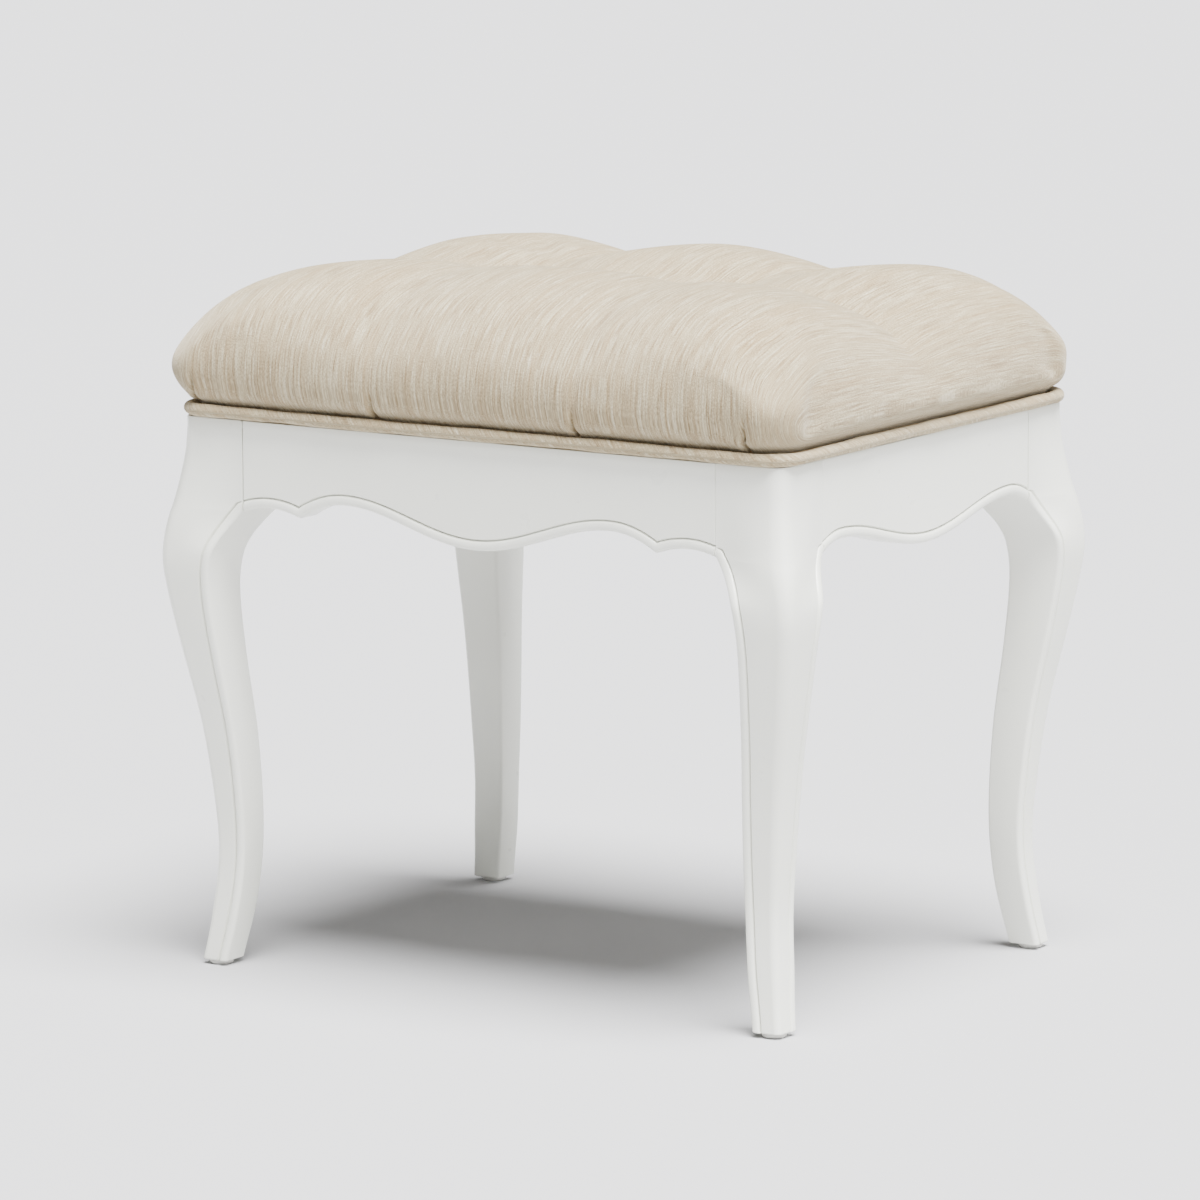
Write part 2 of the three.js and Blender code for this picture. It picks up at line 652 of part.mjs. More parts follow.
for (const { name, sx, sy } of corners) {
  const corner = new THREE.Group();
  corner.position.set(...cornerOrigin(sx, sy));
  group.add(corner);

  addMesh(corner, `leg_${name}`, legGeometry(sx, sy), paint);
  const glide = addMesh(corner, `glide_${name}`, glideGeometry(), nylon);
  glide.position.set(-sx * FOOT_CENTRE, -sy * FOOT_CENTRE, 0);

  addMesh(corner, `corner_block_${name}`, cornerBlockGeometry(sx, sy), bareWood);
  addMesh(corner, `leg_bolt_${name}`, legBoltGeometry(sx, sy), zincSteel);
  addMesh(corner, `washer_${name}`, washerGeometry(sx, sy), zincSteel);
  addMesh(corner, `nut_${name}`, nutGeometry(sx, sy), zincSteel);
  const screw = addMesh(corner, `seat_screw_${name}`, seatScrewGeometry(), zincSteel);
  const [screwX, screwY] = onDiagonal(sx, sy, blockMiddle, 0, screwStep);
  screw.position.set(screwX, screwY, 0);

  DOWEL_HEIGHTS.forEach((z, row) => {
    const rowName = ['lower', 'upper'][row];
    const dowel = () => new THREE.CylinderGeometry(DOWEL_RADIUS, DOWEL_RADIUS, DOWEL_LENGTH, 10);
    const wide = addMesh(corner, `dowel_${name}_width_${rowName}`, dowel(), bareWood);
    wide.rotation.z = Math.PI / 2;
    wide.position.set(-sx * POST, -sy * DOWEL_INSET, z);
    const deep = addMesh(corner, `dowel_${name}_depth_${rowName}`, dowel(), bareWood);
    deep.position.set(-sx * DOWEL_INSET, -sy * POST, z);
  });
}

const wideApron = apronGeometry(WIDE_STATIONS, WIDE_APRON.half, wideGrooveLine);
const deepApron = apronGeometry(DEEP_STATIONS, DEEP_APRON.half, deepGrooveLine);
addApron('apron_front', wideApron, 0, -FRAME_DEPTH / 2, 0);
addApron('apron_back', wideApron, 0, FRAME_DEPTH / 2, Math.PI);
addApron('apron_right', deepApron, FRAME_WIDTH / 2, 0, Math.PI / 2);
addApron('apron_left', deepApron, -FRAME_WIDTH / 2, 0, -Math.PI / 2);

addMesh(group, 'dust_cover', dustCoverGeometry(), blackCloth);
addMesh(group, 'seat_board', seatBoardGeometry(), plywood);
addMesh(group, 'foam_pad', foamGeometry(), foam);
addMesh(group, 'seat_cover', seatCoverGeometry(), fabric);
addMesh(group, 'welt', weltGeometry(), fabric);

for (const [side, label] of [[-1, 'left'], [1, 'right']]) {
  const button = addMesh(group, `tuft_button_${label}`, buttonGeometry(), fabric);
  button.position.x = side * TUFT_X;
  const cord = addMesh(group, `tuft_twine_${label}`, twineGeometry(), twine);
  cord.position.x = side * TUFT_X;
}

export default group;
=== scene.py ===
import math

import bmesh
import bpy
import numpy as np
from mathutils import Matrix, Vector
from mathutils.bvhtree import BVHTree


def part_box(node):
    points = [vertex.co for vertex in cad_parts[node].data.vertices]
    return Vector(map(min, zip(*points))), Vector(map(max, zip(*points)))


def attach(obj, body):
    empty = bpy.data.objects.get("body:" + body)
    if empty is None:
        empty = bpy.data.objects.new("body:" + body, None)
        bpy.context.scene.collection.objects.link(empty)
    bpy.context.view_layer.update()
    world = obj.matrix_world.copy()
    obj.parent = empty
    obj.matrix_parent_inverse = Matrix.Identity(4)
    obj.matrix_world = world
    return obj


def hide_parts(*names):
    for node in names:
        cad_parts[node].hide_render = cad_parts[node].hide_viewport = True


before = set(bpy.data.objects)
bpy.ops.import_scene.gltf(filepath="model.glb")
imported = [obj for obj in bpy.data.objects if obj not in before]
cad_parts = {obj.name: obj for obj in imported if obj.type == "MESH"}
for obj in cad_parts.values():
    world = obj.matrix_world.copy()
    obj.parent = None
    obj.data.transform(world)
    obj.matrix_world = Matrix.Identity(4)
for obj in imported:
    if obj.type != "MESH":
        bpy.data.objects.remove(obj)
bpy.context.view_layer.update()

# Dressing stool: painted cabriole frame with a tufted, piped seat. Metres, +Z up, -Y the front.

MM = 0.001

# ------------------------------------------------------------------ places taken from the frame

HALF_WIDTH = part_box("apron_right")[1].x
HALF_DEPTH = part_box("apron_back")[1].y
FRAME_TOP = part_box("apron_front")[1].z
GAP = 0.3 * MM                # between an apron's end and its leg
POST = HALF_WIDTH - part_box("apron_front")[1].x - GAP
APRON_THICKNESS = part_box("apron_front")[1].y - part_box("apron_front")[0].y
FOOT_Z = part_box("leg_front_left")[0].z
SEAT_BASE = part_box("seat_cover")[0].z
SEAT_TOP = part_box("seat_cover")[1].z
TUFT_X = (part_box("tuft_button_right")[0].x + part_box("tuft_button_right")[1].x) / 2
WELT_Z = (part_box("welt")[0].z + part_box("welt")[1].z) / 2
WELT_HALF_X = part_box("welt")[1].x
WELT_HALF_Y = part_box("welt")[1].y

PAINT_SMOOTH_ANGLE = 32       # degrees, above which an edge of the painted wood looks sharp

CORNERS = {"front_left": (-1, -1), "front_right": (1, -1), "back_left": (-1, 1), "back_right": (1, 1)}


# ------------------------------------------------------------------ camera

CAMERA_PLACE = Vector((2.837, -4.395, 1.110))
CAMERA_YAW = math.radians(33.03)
CAMERA_PITCH = math.radians(9.467)
CAMERA_ROLL = -0.005
CAMERA_LENS = 242.2


def add_camera():
    data = bpy.data.cameras.new("camera")
    data.lens = CAMERA_LENS
    data.sensor_width = 36
    data.clip_start = 0.1
    data.clip_end = 100
    camera = bpy.data.objects.new("camera", data)
    bpy.context.scene.collection.objects.link(camera)
    flat = math.cos(CAMERA_PITCH)
    forward = Vector((-math.sin(CAMERA_YAW) * flat, math.cos(CAMERA_YAW) * flat, -math.sin(CAMERA_PITCH)))
    level = Vector((math.cos(CAMERA_YAW), math.sin(CAMERA_YAW), 0))
    upright = level.cross(forward)
    right = level * math.cos(CAMERA_ROLL) + upright * math.sin(CAMERA_ROLL)
    up = upright * math.cos(CAMERA_ROLL) - level * math.sin(CAMERA_ROLL)
    turn = Matrix((right, up, -forward)).transposed().to_4x4()
    camera.matrix_world = Matrix.Translation(CAMERA_PLACE) @ turn
    bpy.context.scene.camera = camera


add_camera()


# ------------------------------------------------------------------ mesh helpers

def mesh_object(name, vertices, faces, material, smooth_angle):
    """A new piece. Its edges look sharp above smooth_angle, in degrees."""
    mesh = bpy.data.meshes.new(name)
    mesh.from_pydata([tuple(v) for v in vertices], [], faces)
    mesh.validate()
    work = bmesh.new()
    work.from_mesh(mesh)
    bmesh.ops.remove_doubles(work, verts=work.verts, dist=1e-6)
    bmesh.ops.recalc_face_normals(work, faces=work.faces)
    work.to_mesh(mesh)
    work.free()
    mesh.shade_smooth()
    mesh.set_sharp_from_angle(angle=math.radians(smooth_angle))
    mesh.materials.append(material)
    piece = bpy.data.objects.new(name, mesh)
    bpy.context.scene.collection.objects.link(piece)
    return piece


def loft(rings, path_closed=False):
    """Vertices and faces of a skin through rings of equal length."""
    count = len(rings[0])
    vertices = [point for ring in rings for point in ring]
    faces = []
    last = len(rings) if path_closed else len(rings) - 1
    for r in range(last):
        low = r * count
        high = ((r + 1) % len(rings)) * count
        for k in range(count):
            nxt = (k + 1) % count
            faces.append((low + k, low + nxt, high + nxt, high + k))
    if not path_closed:
        faces.append(tuple(range(count)))
        faces.append(tuple(range((len(rings) - 1) * count, len(rings) * count)))
    return vertices, faces


def smooth_curve(points):
    """Smooth function through [place, value] points, constant beyond its ends."""
    places = np.array([p[0] for p in points], float)
    values = np.array([p[1] for p in points], float)
    slopes = np.empty(len(places))
    slopes[1:-1] = (values[2:] - values[:-2]) / (places[2:] - places[:-2])
    slopes[0] = (values[1] - values[0]) / (places[1] - places[0])
    slopes[-1] = (values[-1] - values[-2]) / (places[-1] - places[-2])

    def at(place):
        place = float(np.clip(place, places[0], places[-1]))
        i = int(np.clip(np.searchsorted(places, place) - 1, 0, len(places) - 2))
        span = places[i + 1] - places[i]
        t = (place - places[i]) / span
        rise = t * t * (3 - 2 * t)
        leave = t * (1 - t) ** 2 * span
        arrive = t * t * (t - 1) * span
        return values[i] * (1 - rise) + values[i + 1] * rise + slopes[i] * leave + slopes[i + 1] * arrive

    return at


def smoothstep(value, low, high):
    t = np.clip((value - low) / (high - low), 0, 1)
    return t * t * (3 - 2 * t)


def finish_piece(piece, node):
    """The piece rides on the only body and stands for a CAD node."""
    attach(piece, "root")
    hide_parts(node)


# ------------------------------------------------------------------ materials

class Nodes:
    """Small helper that adds and links shader nodes."""

    def __init__(self, name):
        self.material = bpy.data.materials.new(name)
        self.material.use_nodes = True
        self.tree = self.material.node_tree
        self.shader = self.tree.nodes["Principled BSDF"]

    def add(self, kind, inputs=None, **settings):
        node = self.tree.nodes.new(kind)
        for key, value in settings.items():
            setattr(node, key, value)
        for key, value in (inputs or {}).items():
            if isinstance(value, bpy.types.NodeSocket):
                self.tree.links.new(value, node.inputs[key])
            else:
                node.inputs[key].default_value = value
        return node

    def set(self, **values):
        for key, value in values.items():
            name = key.replace("_", " ")
            socket = self.shader.inputs[name]
            if isinstance(value, bpy.types.NodeSocket):
                self.tree.links.new(value, socket)
            else:
                socket.default_value = value

    def math(self, operation, a, b=0.0, clamp=False):
        node = self.add("ShaderNodeMath", {0: a, 1: b}, operation=operation, use_clamp=clamp)
        return node.outputs[0]

    def mix(self, factor, a, b, blend="MIX"):
        node = self.add("ShaderNodeMix", {"Factor": factor}, data_type="RGBA", blend_type=blend)
        for key, value in ((6, a), (7, b)):
            if isinstance(value, bpy.types.NodeSocket):
                self.tree.links.new(value, node.inputs[key])
            else:
                node.inputs[key].default_value = (*value, 1)
        return node.outputs[2]

    def ramp(self, factor, stops):
        node = self.add("ShaderNodeValToRGB", {"Fac": factor})
        while len(node.color_ramp.elements) < len(stops):
            node.color_ramp.elements.new(0.5)
        for element, (place, colour) in zip(node.color_ramp.elements, stops):
            element.position = place
            element.color = (*colour, 1)
        return node.outputs["Color"]

    def noise(self, vector, scale, detail=2.0, roughness=0.5):
        node = self.add("ShaderNodeTexNoise", {"Vector": vector, "Scale": scale, "Detail": detail,
                                               "Roughness": roughness})
        return node.outputs["Fac"]

    def stretched(self, vector, scale):
        return self.add("ShaderNodeVectorMath", {0: vector, 1: scale}, operation="MULTIPLY").outputs[0]

    def bump(self, height, strength, distance):
        inputs = {"Height": height, "Strength": strength, "Distance": distance}
        return self.add("ShaderNodeBump", inputs).outputs["Normal"]


def paint_material():
    """Satin off-white paint with faint brush marks and soft mottling."""
    n = Nodes("paint")
    place = n.add("ShaderNodeTexCoord").outputs["Object"]
    broad = n.noise(place, 9.0, 3.0)
    colour = n.ramp(broad, [(0.3, (0.815, 0.825, 0.750)), (0.7, (0.850, 0.858, 0.788))])
    brushed = n.noise(n.stretched(place, (900.0, 900.0, 60.0)), 1.0, 2.0)
    peel = n.noise(place, 420.0, 2.0)
    rough = n.math("MULTIPLY_ADD", n.noise(place, 60.0, 2.0), 0.12)
    rough.node.inputs[2].default_value = 0.24
    height = n.math("ADD", n.math("MULTIPLY", brushed, 0.5), n.math("MULTIPLY", peel, 0.5))
    n.set(Base_Color=colour, Roughness=rough, Normal=n.bump(height, 0.10, 0.0004))
    n.shader.inputs["Coat Weight"].default_value = 0.12
    n.shader.inputs["Coat Roughness"].default_value = 0.25
    return n.material


def fabric_material(name, attribute):
    """Slub weave. The attribute holds each point's place on the flat cloth, in metres."""
    n = Nodes(name)
    flat = n.add("ShaderNodeAttribute", attribute_name=attribute, attribute_type="GEOMETRY").outputs["Vector"]
    drift = n.noise(n.stretched(flat, (22.0, 22.0, 22.0)), 1.0, 2.0)
    wander = n.add("ShaderNodeVectorMath", {0: flat}, operation="ADD")
    shift = n.add("ShaderNodeCombineXYZ", {"X": n.math("MULTIPLY", n.math("SUBTRACT", drift, 0.5), 0.002)})
    n.tree.links.new(shift.outputs[0], wander.inputs[1])
    cloth = wander.outputs[0]
    streaks = n.noise(n.stretched(cloth, (800.0, 22.0, 22.0)), 1.0, 4.0, 0.75)
    slubs = n.noise(n.stretched(cloth, (430.0, 34.0, 34.0)), 1.0, 2.0, 0.6)
    bands = n.noise(n.stretched(cloth, (110.0, 5.0, 5.0)), 1.0, 2.0, 0.5)
    threads = n.noise(n.stretched(cloth, (1100.0, 620.0, 620.0)), 1.0, 2.0, 0.7)
    base = n.ramp(streaks, [(0.36, (0.222, 0.158, 0.083)), (0.46, (0.327, 0.260, 0.159)),
                            (0.54, (0.401, 0.336, 0.215)), (0.64, (0.509, 0.446, 0.316))])
    warm = n.mix(n.math("MULTIPLY", n.math("SUBTRACT", bands, 0.45, True), 2.0, True), base,
                 (0.338, 0.248, 0.132))
    pale = n.math("MULTIPLY", n.math("SUBTRACT", slubs, 0.58, True), 4.5, True)
    colour = n.mix(pale, warm, (0.553, 0.496, 0.370))
    speck = n.ramp(threads, [(0.36, (0.66, 0.64, 0.60)), (0.64, (1.20, 1.20, 1.20))])
    colour = n.mix(0.8, colour, speck, "MULTIPLY")
    height = n.math("ADD", n.math("MULTIPLY", streaks, 0.6), n.math("MULTIPLY", threads, 0.6))
    n.set(Base_Color=colour, Roughness=0.92, Normal=n.bump(height, 0.7, 0.0009))
    n.shader.inputs["Sheen Weight"].default_value = 0.40
    n.shader.inputs["Sheen Roughness"].default_value = 0.45
    n.shader.inputs["Sheen Tint"].default_value = (1.0, 0.93, 0.80, 1)
    n.shader.inputs["Specular IOR Level"].default_value = 0.25
    return n.material


def wood_material(name, pale, dark, plies=False):
    n = Nodes(name)
    place = n.add("ShaderNodeTexCoord").outputs["Object"]
    grain = n.noise(n.stretched(place, (18.0, 160.0, 160.0)), 1.0, 4.0, 0.6)
    pores = n.noise(n.stretched(place, (120.0, 1400.0, 1400.0)), 1.0, 1.0)
    colour = n.ramp(grain, [(0.32, dark), (0.66, pale)])
    if plies:
        layers = n.add("ShaderNodeTexWave", {"Vector": place, "Scale": 105.0, "Distortion": 0.4},
                       wave_type="BANDS", bands_direction="Z").outputs["Fac"]
        colour = n.mix(n.math("MULTIPLY", layers, 0.35), colour, dark)
    height = n.math("ADD", grain, n.math("MULTIPLY", pores, 0.6))
    n.set(Base_Color=colour, Roughness=0.68, Normal=n.bump(height, 0.25, 0.0006))
    return n.material


def steel_material():
    n = Nodes("zinc_steel")
    place = n.add("ShaderNodeTexCoord").outputs["Object"]
    spangle = n.noise(place, 260.0, 3.0)
    colour = n.ramp(spangle, [(0.3, (0.50, 0.51, 0.53)), (0.7, (0.72, 0.73, 0.74))])
    rough = n.ramp(spangle, [(0.3, (0.22,) * 3), (0.7, (0.42,) * 3)])
    n.set(Base_Color=colour, Roughness=rough, Normal=n.bump(spangle, 0.12, 0.0003))
    n.shader.inputs["Metallic"].default_value = 1.0
    return n.material


def foam_material():
    n = Nodes("foam")
    place = n.add("ShaderNodeTexCoord").outputs["Object"]
    cells = n.add("ShaderNodeTexVoronoi", {"Vector": place, "Scale": 700.0}).outputs["Distance"]
    colour = n.ramp(cells, [(0.0, (0.62, 0.54, 0.30)), (0.6, (0.86, 0.79, 0.52))])
    n.set(Base_Color=colour, Roughness=0.95, Normal=n.bump(cells, 0.6, 0.0008))
    return n.material


def lining_material():
    """Black spun lining cloth with pressed dimples."""
    n = Nodes("dust_cloth")
    place = n.add("ShaderNodeTexCoord").outputs["Object"]
    dimples = n.add("ShaderNodeTexVoronoi", {"Vector": place, "Scale": 620.0}).outputs["Distance"]
    fibres = n.noise(n.stretched(place, (900.0, 500.0, 900.0)), 1.0, 3.0)
    colour = n.ramp(fibres, [(0.3, (0.012, 0.012, 0.013)), (0.75, (0.045, 0.045, 0.048))])
    n.set(Base_Color=colour, Roughness=0.85, Normal=n.bump(dimples, 0.5, 0.0005))
    return n.material


def nylon_material():
    n = Nodes("glide")
    place = n.add("ShaderNodeTexCoord").outputs["Object"]
    fine = n.noise(place, 900.0, 2.0)
    broad = n.noise(place, 45.0, 2.0)
    colour = n.ramp(broad, [(0.3, (0.70, 0.69, 0.65)), (0.7, (0.80, 0.79, 0.75))])
    n.set(Base_Color=colour, Roughness=0.45, Normal=n.bump(fine, 0.15, 0.0003))
    return n.material


def twine_material():
    n = Nodes("twine")
    place = n.add("ShaderNodeTexCoord").outputs["Object"]
    lay = n.add("ShaderNodeTexWave", {"Vector": place, "Scale": 240.0, "Distortion": 2.0},
                wave_type="BANDS", bands_direction="DIAGONAL").outputs["Fac"]
    colour = n.ramp(lay, [(0.2, (0.42, 0.36, 0.26)), (0.8, (0.68, 0.61, 0.48))])
    n.set(Base_Color=colour, Roughness=0.8, Normal=n.bump(lay, 0.6, 0.0005))
    return n.material


PAINT = paint_material()
SEAT_FABRIC = fabric_material("seat_fabric", "cloth_place")
BARE_WOOD = wood_material("bare_wood", (0.62, 0.44, 0.26), (0.46, 0.30, 0.16))
PLYWOOD = wood_material("plywood", (0.66, 0.50, 0.31), (0.48, 0.33, 0.18), plies=True)
STEEL = steel_material()
FOAM = foam_material()
LINING = lining_material()
NYLON = nylon_material()
TWINE = twine_material()


# ------------------------------------------------------------------ legs

BEAD_WIDTH = 6.5 * MM
QUIRK_WIDTH = 1.2 * MM        # the steep side of the groove, next to the flat face
QUIRK_LIMIT = 2.2 * MM        # its greatest width across a leg, where the groove turns level
GROOVE_DEPTH = 2.3 * MM       # below the flat face
BEAD_PROUD = 0.8 * MM         # how far the bead's crown stands out from the flat face
BEAD_POWER = 2.4              # 2 would make the bead's section an ellipse
BEAD_STEPS = (0.015, 0.05, 0.1, 0.18, 0.28, 0.4, 0.52, 0.65, 0.77, 0.87, 0.94, 0.98, 1.0)
QUIRK_STEPS = (0.25, 0.6, 1.0)
SEAM_EDGE_Z = 305.5 * MM
SEAM_GROOVE_Z = SEAM_EDGE_Z + BEAD_WIDTH
OUTER_ROUND_SHARE = 0.22      # corner radii as shares of a leg's side
INNER_ROUND_SHARE = 0.09
FACE_BOW = 0.012              # how far a leg's face bows out, as a share of its side
KNEE_FADE = (275 * MM, 312 * MM)
GROOVE_EASE = (292 * MM, 304 * MM)
END_ROUND = 0.6 * MM

# The same outlines as the CAD legs: height, and distance outside or inside the frame's face.
LEG_OUTER = smooth_curve([(z * MM, d * MM) for z, d in (
    (0, -5.6), (30, -10), (75, -13.8), (120, -11), (165, -5.6), (215, 3.6),
    (250, 9.6), (272, 12), (295, 10.2), (317, 5.4), (340, 1.3), (358, 0))])
LEG_INNER = smooth_curve([(z * MM, d * MM) for z, d in (
    (0, 26), (45, 34), (90, 37), (150, 35.2), (206, 30.2), (250, 27.7),
    (272, 29.5), (284, 33.6), (295, 40.5), (305.5, 48.5))])


def groove_offset(z):
    """Where the groove runs at a height: one bead's width from the nearest point of the edge."""
    place = POST
    for height in np.linspace(z - BEAD_WIDTH, min(z + BEAD_WIDTH, SEAM_EDGE_Z), 61):
        reach = BEAD_WIDTH ** 2 - (height - z) ** 2
        place = min(place, LEG_INNER(height) - math.sqrt(max(reach, 0)))
    return place


def leg_groove(z):
    """The groove's place, eased where the edge turns into the apron."""
    exact = groove_offset(z)
    eased = np.mean([groove_offset(z + step * MM) for step in range(-9, 10, 3)])
    near_seam = float(smoothstep(z, *GROOVE_EASE))
    return float(eased * (1 - near_seam) + exact * near_seam)


def bead_dip(across):
    """Depth of the rounded bead below the face: proud at its crown, full at the groove and the edge."""
    spread = abs(2 * across - 1)
    rise = max(0.0, 1 - spread ** BEAD_POWER) ** (1 / BEAD_POWER)
    return GROOVE_DEPTH - (GROOVE_DEPTH + BEAD_PROUD) * rise


def quarter_turn(steps):
    return [i / steps * math.pi / 2 for i in range(steps + 1)]


class LegLevel:
    """A leg at one height. a and b run inward from the frame's two outer faces."""

    def __init__(self, z):
        self.z = z
        self.edge = LEG_INNER(z)
        self.swell = LEG_OUTER(z)
        flush = 1 - float(smoothstep(z, *KNEE_FADE))
        self.edge_swell = self.swell * flush if self.swell > 0 else self.swell
        self.side = self.edge + self.swell
        self.rounding = OUTER_ROUND_SHARE * self.side
        self.start = self.rounding - self.swell
        self.groove = leg_groove(z)
        slope = (leg_groove(z + MM) - leg_groove(z - MM)) / (2 * MM)
        self.quirk = min(QUIRK_WIDTH * math.sqrt(1 + slope ** 2), QUIRK_LIMIT)

    def face(self, a):
        """Where the flat face lies, swollen at the knee and slightly bowed."""
        t = min(max((a - self.start) / (self.edge - self.start), 0), 1)
        ease = t * t * (3 - 2 * t)
        bow = FACE_BOW * self.side * 16 * (t * (1 - t)) ** 2
        return -(self.swell * (1 - ease) + self.edge_swell * ease) - bow

    def dip(self, a):
        """Depth of the bead below the flat face."""
        if self.z >= SEAM_GROOVE_Z:
            return 0.0
        if self.z <= SEAM_EDGE_Z:
            return bead_dip((a - self.groove) / (self.edge - self.groove))
        heights = np.linspace(SEAM_EDGE_Z - 2 * BEAD_WIDTH, SEAM_EDGE_Z, 41)
        from_edge = min(math.hypot(LEG_INNER(height) - a, self.z - height) for height in heights)
        return bead_dip(min(max(1 - from_edge / BEAD_WIDTH, 0), 1))

    def face_line(self):
        """Points of one face, from the rounded corner over the groove and the bead to the inner edge."""
        line = []
        for a in np.linspace(self.start, max(self.groove - self.quirk, self.start + MM), 10)[1:]:
            line.append((a, self.face(a)))
        for part in QUIRK_STEPS:
            a = self.groove - self.quirk * (1 - part)
            line.append((a, self.face(a) + (GROOVE_DEPTH * part if self.z < SEAM_GROOVE_Z else 0.0)))
        for part in BEAD_STEPS:
            a = self.groove + (self.edge - self.groove) * part
            line.append((a, self.face(a) + self.dip(a)))
        return line

    def outer_corner(self):
        corner = [(self.start, self.face(self.start))]
        for angle in quarter_turn(10)[1:-1]:
            a = self.start - self.rounding * math.sin(angle)
            corner.append((a, self.start - self.rounding * math.cos(angle)))
        return corner + [(self.face(self.start), self.start)]

    def inner_corner(self):
        radius = INNER_ROUND_SHARE * self.side
        centre = self.edge - radius
        return [(centre + radius * math.sin(t), centre + radius * math.cos(t)) for t in quarter_turn(4)]

    def outline(self):
        line = self.face_line()
        mirrored = [(b, a) for a, b in line]
        return self.outer_corner() + mirrored + self.inner_corner() + line[::-1]


def leg_levels():
    """Heights of a leg's sections: closest where the groove turns into the apron."""
    foot = np.linspace(FOOT_Z, FOOT_Z + 1.2 * MM, 3)
    shaft = np.arange(8, 255, 5) * MM
    knee = np.arange(255, 300, 2.5) * MM
    seam = np.arange(300, 313, 0.8) * MM
    post = np.arange(314, 360, 4) * MM
    return np.concatenate([foot, shaft, knee, seam, post, [FRAME_TOP - 0.8 * MM, FRAME_TOP]])


def build_leg(name, sx, sy):
    levels = leg_levels()
    rings = []
    for index, z in enumerate(levels):
        ring = np.array(LegLevel(z).outline())
        if index in (0, len(levels) - 1):
            middle = ring.mean(0)
            ring = middle + (ring - middle) * (1 - END_ROUND / np.abs(ring - middle).max())
        rings.append([(sx * (HALF_WIDTH - a), sy * (HALF_DEPTH - b), z) for a, b in ring])
    piece = mesh_object("painted_leg_" + name, *loft(rings), PAINT, PAINT_SMOOTH_ANGLE)
    finish_piece(piece, "leg_" + name)


for corner, (sx, sy) in CORNERS.items():
    build_leg(corner, sx, sy)


# ------------------------------------------------------------------ aprons

WIDE_HALF = HALF_WIDTH - POST
DEEP_HALF = HALF_DEPTH - POST
WIDE = {"shoulder": 101.6 * MM, "cusp": 137.4 * MM, "crest": 160.6 * MM}
WIDE_Z = {"belly": 301.1 * MM, "shoulder": 322 * MM, "cusp": 311.4 * MM, "crest": 315.4 * MM}
DEEP_SHOULDER = 105 * MM
DEEP_Z = {"belly": 301.6 * MM, "shoulder": 318.2 * MM}
END_EASE = 0.8 * MM           # chamfer where an apron meets a leg
APRON_STATIONS = 78           # sections in half an apron


def belly_line(d, shoulder, heights):
    rise = heights["shoulder"] - heights["belly"]
    return heights["belly"] + rise * (0.5 - 0.5 * math.cos(math.pi * d / shoulder))


def wide_groove(x):
    d = abs(x)
    if d < WIDE["shoulder"]:
        return belly_line(d, WIDE["shoulder"], WIDE_Z)
    if d < WIDE["cusp"]:
        t = (d - WIDE["shoulder"]) / (WIDE["cusp"] - WIDE["shoulder"])
        return WIDE_Z["shoulder"] + (WIDE_Z["cusp"] - WIDE_Z["shoulder"]) * t ** 2
    if d < WIDE["crest"]:
        t = (WIDE["crest"] - d) / (WIDE["crest"] - WIDE["cusp"])
        return WIDE_Z["crest"] + (WIDE_Z["cusp"] - WIDE_Z["crest"]) * t ** 2
    t = (d - WIDE["crest"]) / (WIDE_HALF - WIDE["crest"])
    return WIDE_Z["crest"] + (SEAM_GROOVE_Z - WIDE_Z["crest"]) * t ** 2


def deep_groove(y):
    d = abs(y)
    if d < DEEP_SHOULDER:
        return belly_line(d, DEEP_SHOULDER, DEEP_Z)
    t = (d - DEEP_SHOULDER) / (DEEP_HALF - DEEP_SHOULDER)
    return DEEP_Z["shoulder"] + (SEAM_GROOVE_Z - DEEP_Z["shoulder"]) * t ** 2


def apron_section(groove, slope):
    """Outline of an apron: v runs inward from its outer face."""
    stretch = math.sqrt(1 + slope ** 2)
    edge = groove - BEAD_WIDTH * stretch
    quirk = QUIRK_WIDTH * stretch
    points = [(0.7 * MM, FRAME_TOP), (0.2 * MM, FRAME_TOP - 0.2 * MM), (0, FRAME_TOP - 0.7 * MM)]
    points += [(0, z) for z in np.linspace(FRAME_TOP - 5 * MM, groove + quirk, 6)]
    points += [(GROOVE_DEPTH * part, groove + quirk * (1 - part)) for part in QUIRK_STEPS]
    points += [(bead_dip(part), groove + (edge - groove) * part) for part in BEAD_STEPS]
    inner = APRON_THICKNESS
    points += [(inner * 0.4, edge), (inner - MM, edge)]
    points += [(inner - 0.3 * MM, edge + 0.3 * MM), (inner, edge + MM)]
    points += [(inner, FRAME_TOP - MM), (inner - MM, FRAME_TOP)]
    return points


def build_apron(name, half, groove_line, breaks, place):
    """place turns a point (u, v, z) of the apron into the frame."""
    end = half - GAP
    stations = np.linspace(0, end, APRON_STATIONS)
    stations = np.unique(np.concatenate([stations, breaks, [end - END_EASE]]))
    stations = np.concatenate([-stations[:0:-1], stations])
    rings = []
    for u in stations:
        slope = (groove_line(u + 0.5 * MM) - groove_line(u - 0.5 * MM)) / MM
        ring = np.array(apron_section(groove_line(u), slope))
        if abs(u) > end - 0.1 * MM:
            ring[:, 0] = np.clip(ring[:, 0], END_EASE, APRON_THICKNESS - END_EASE)
        rings.append([place(u, v, z) for v, z in ring])
    piece = mesh_object("painted_" + name, *loft(rings), PAINT, PAINT_SMOOTH_ANGLE)
    finish_piece(piece, name)


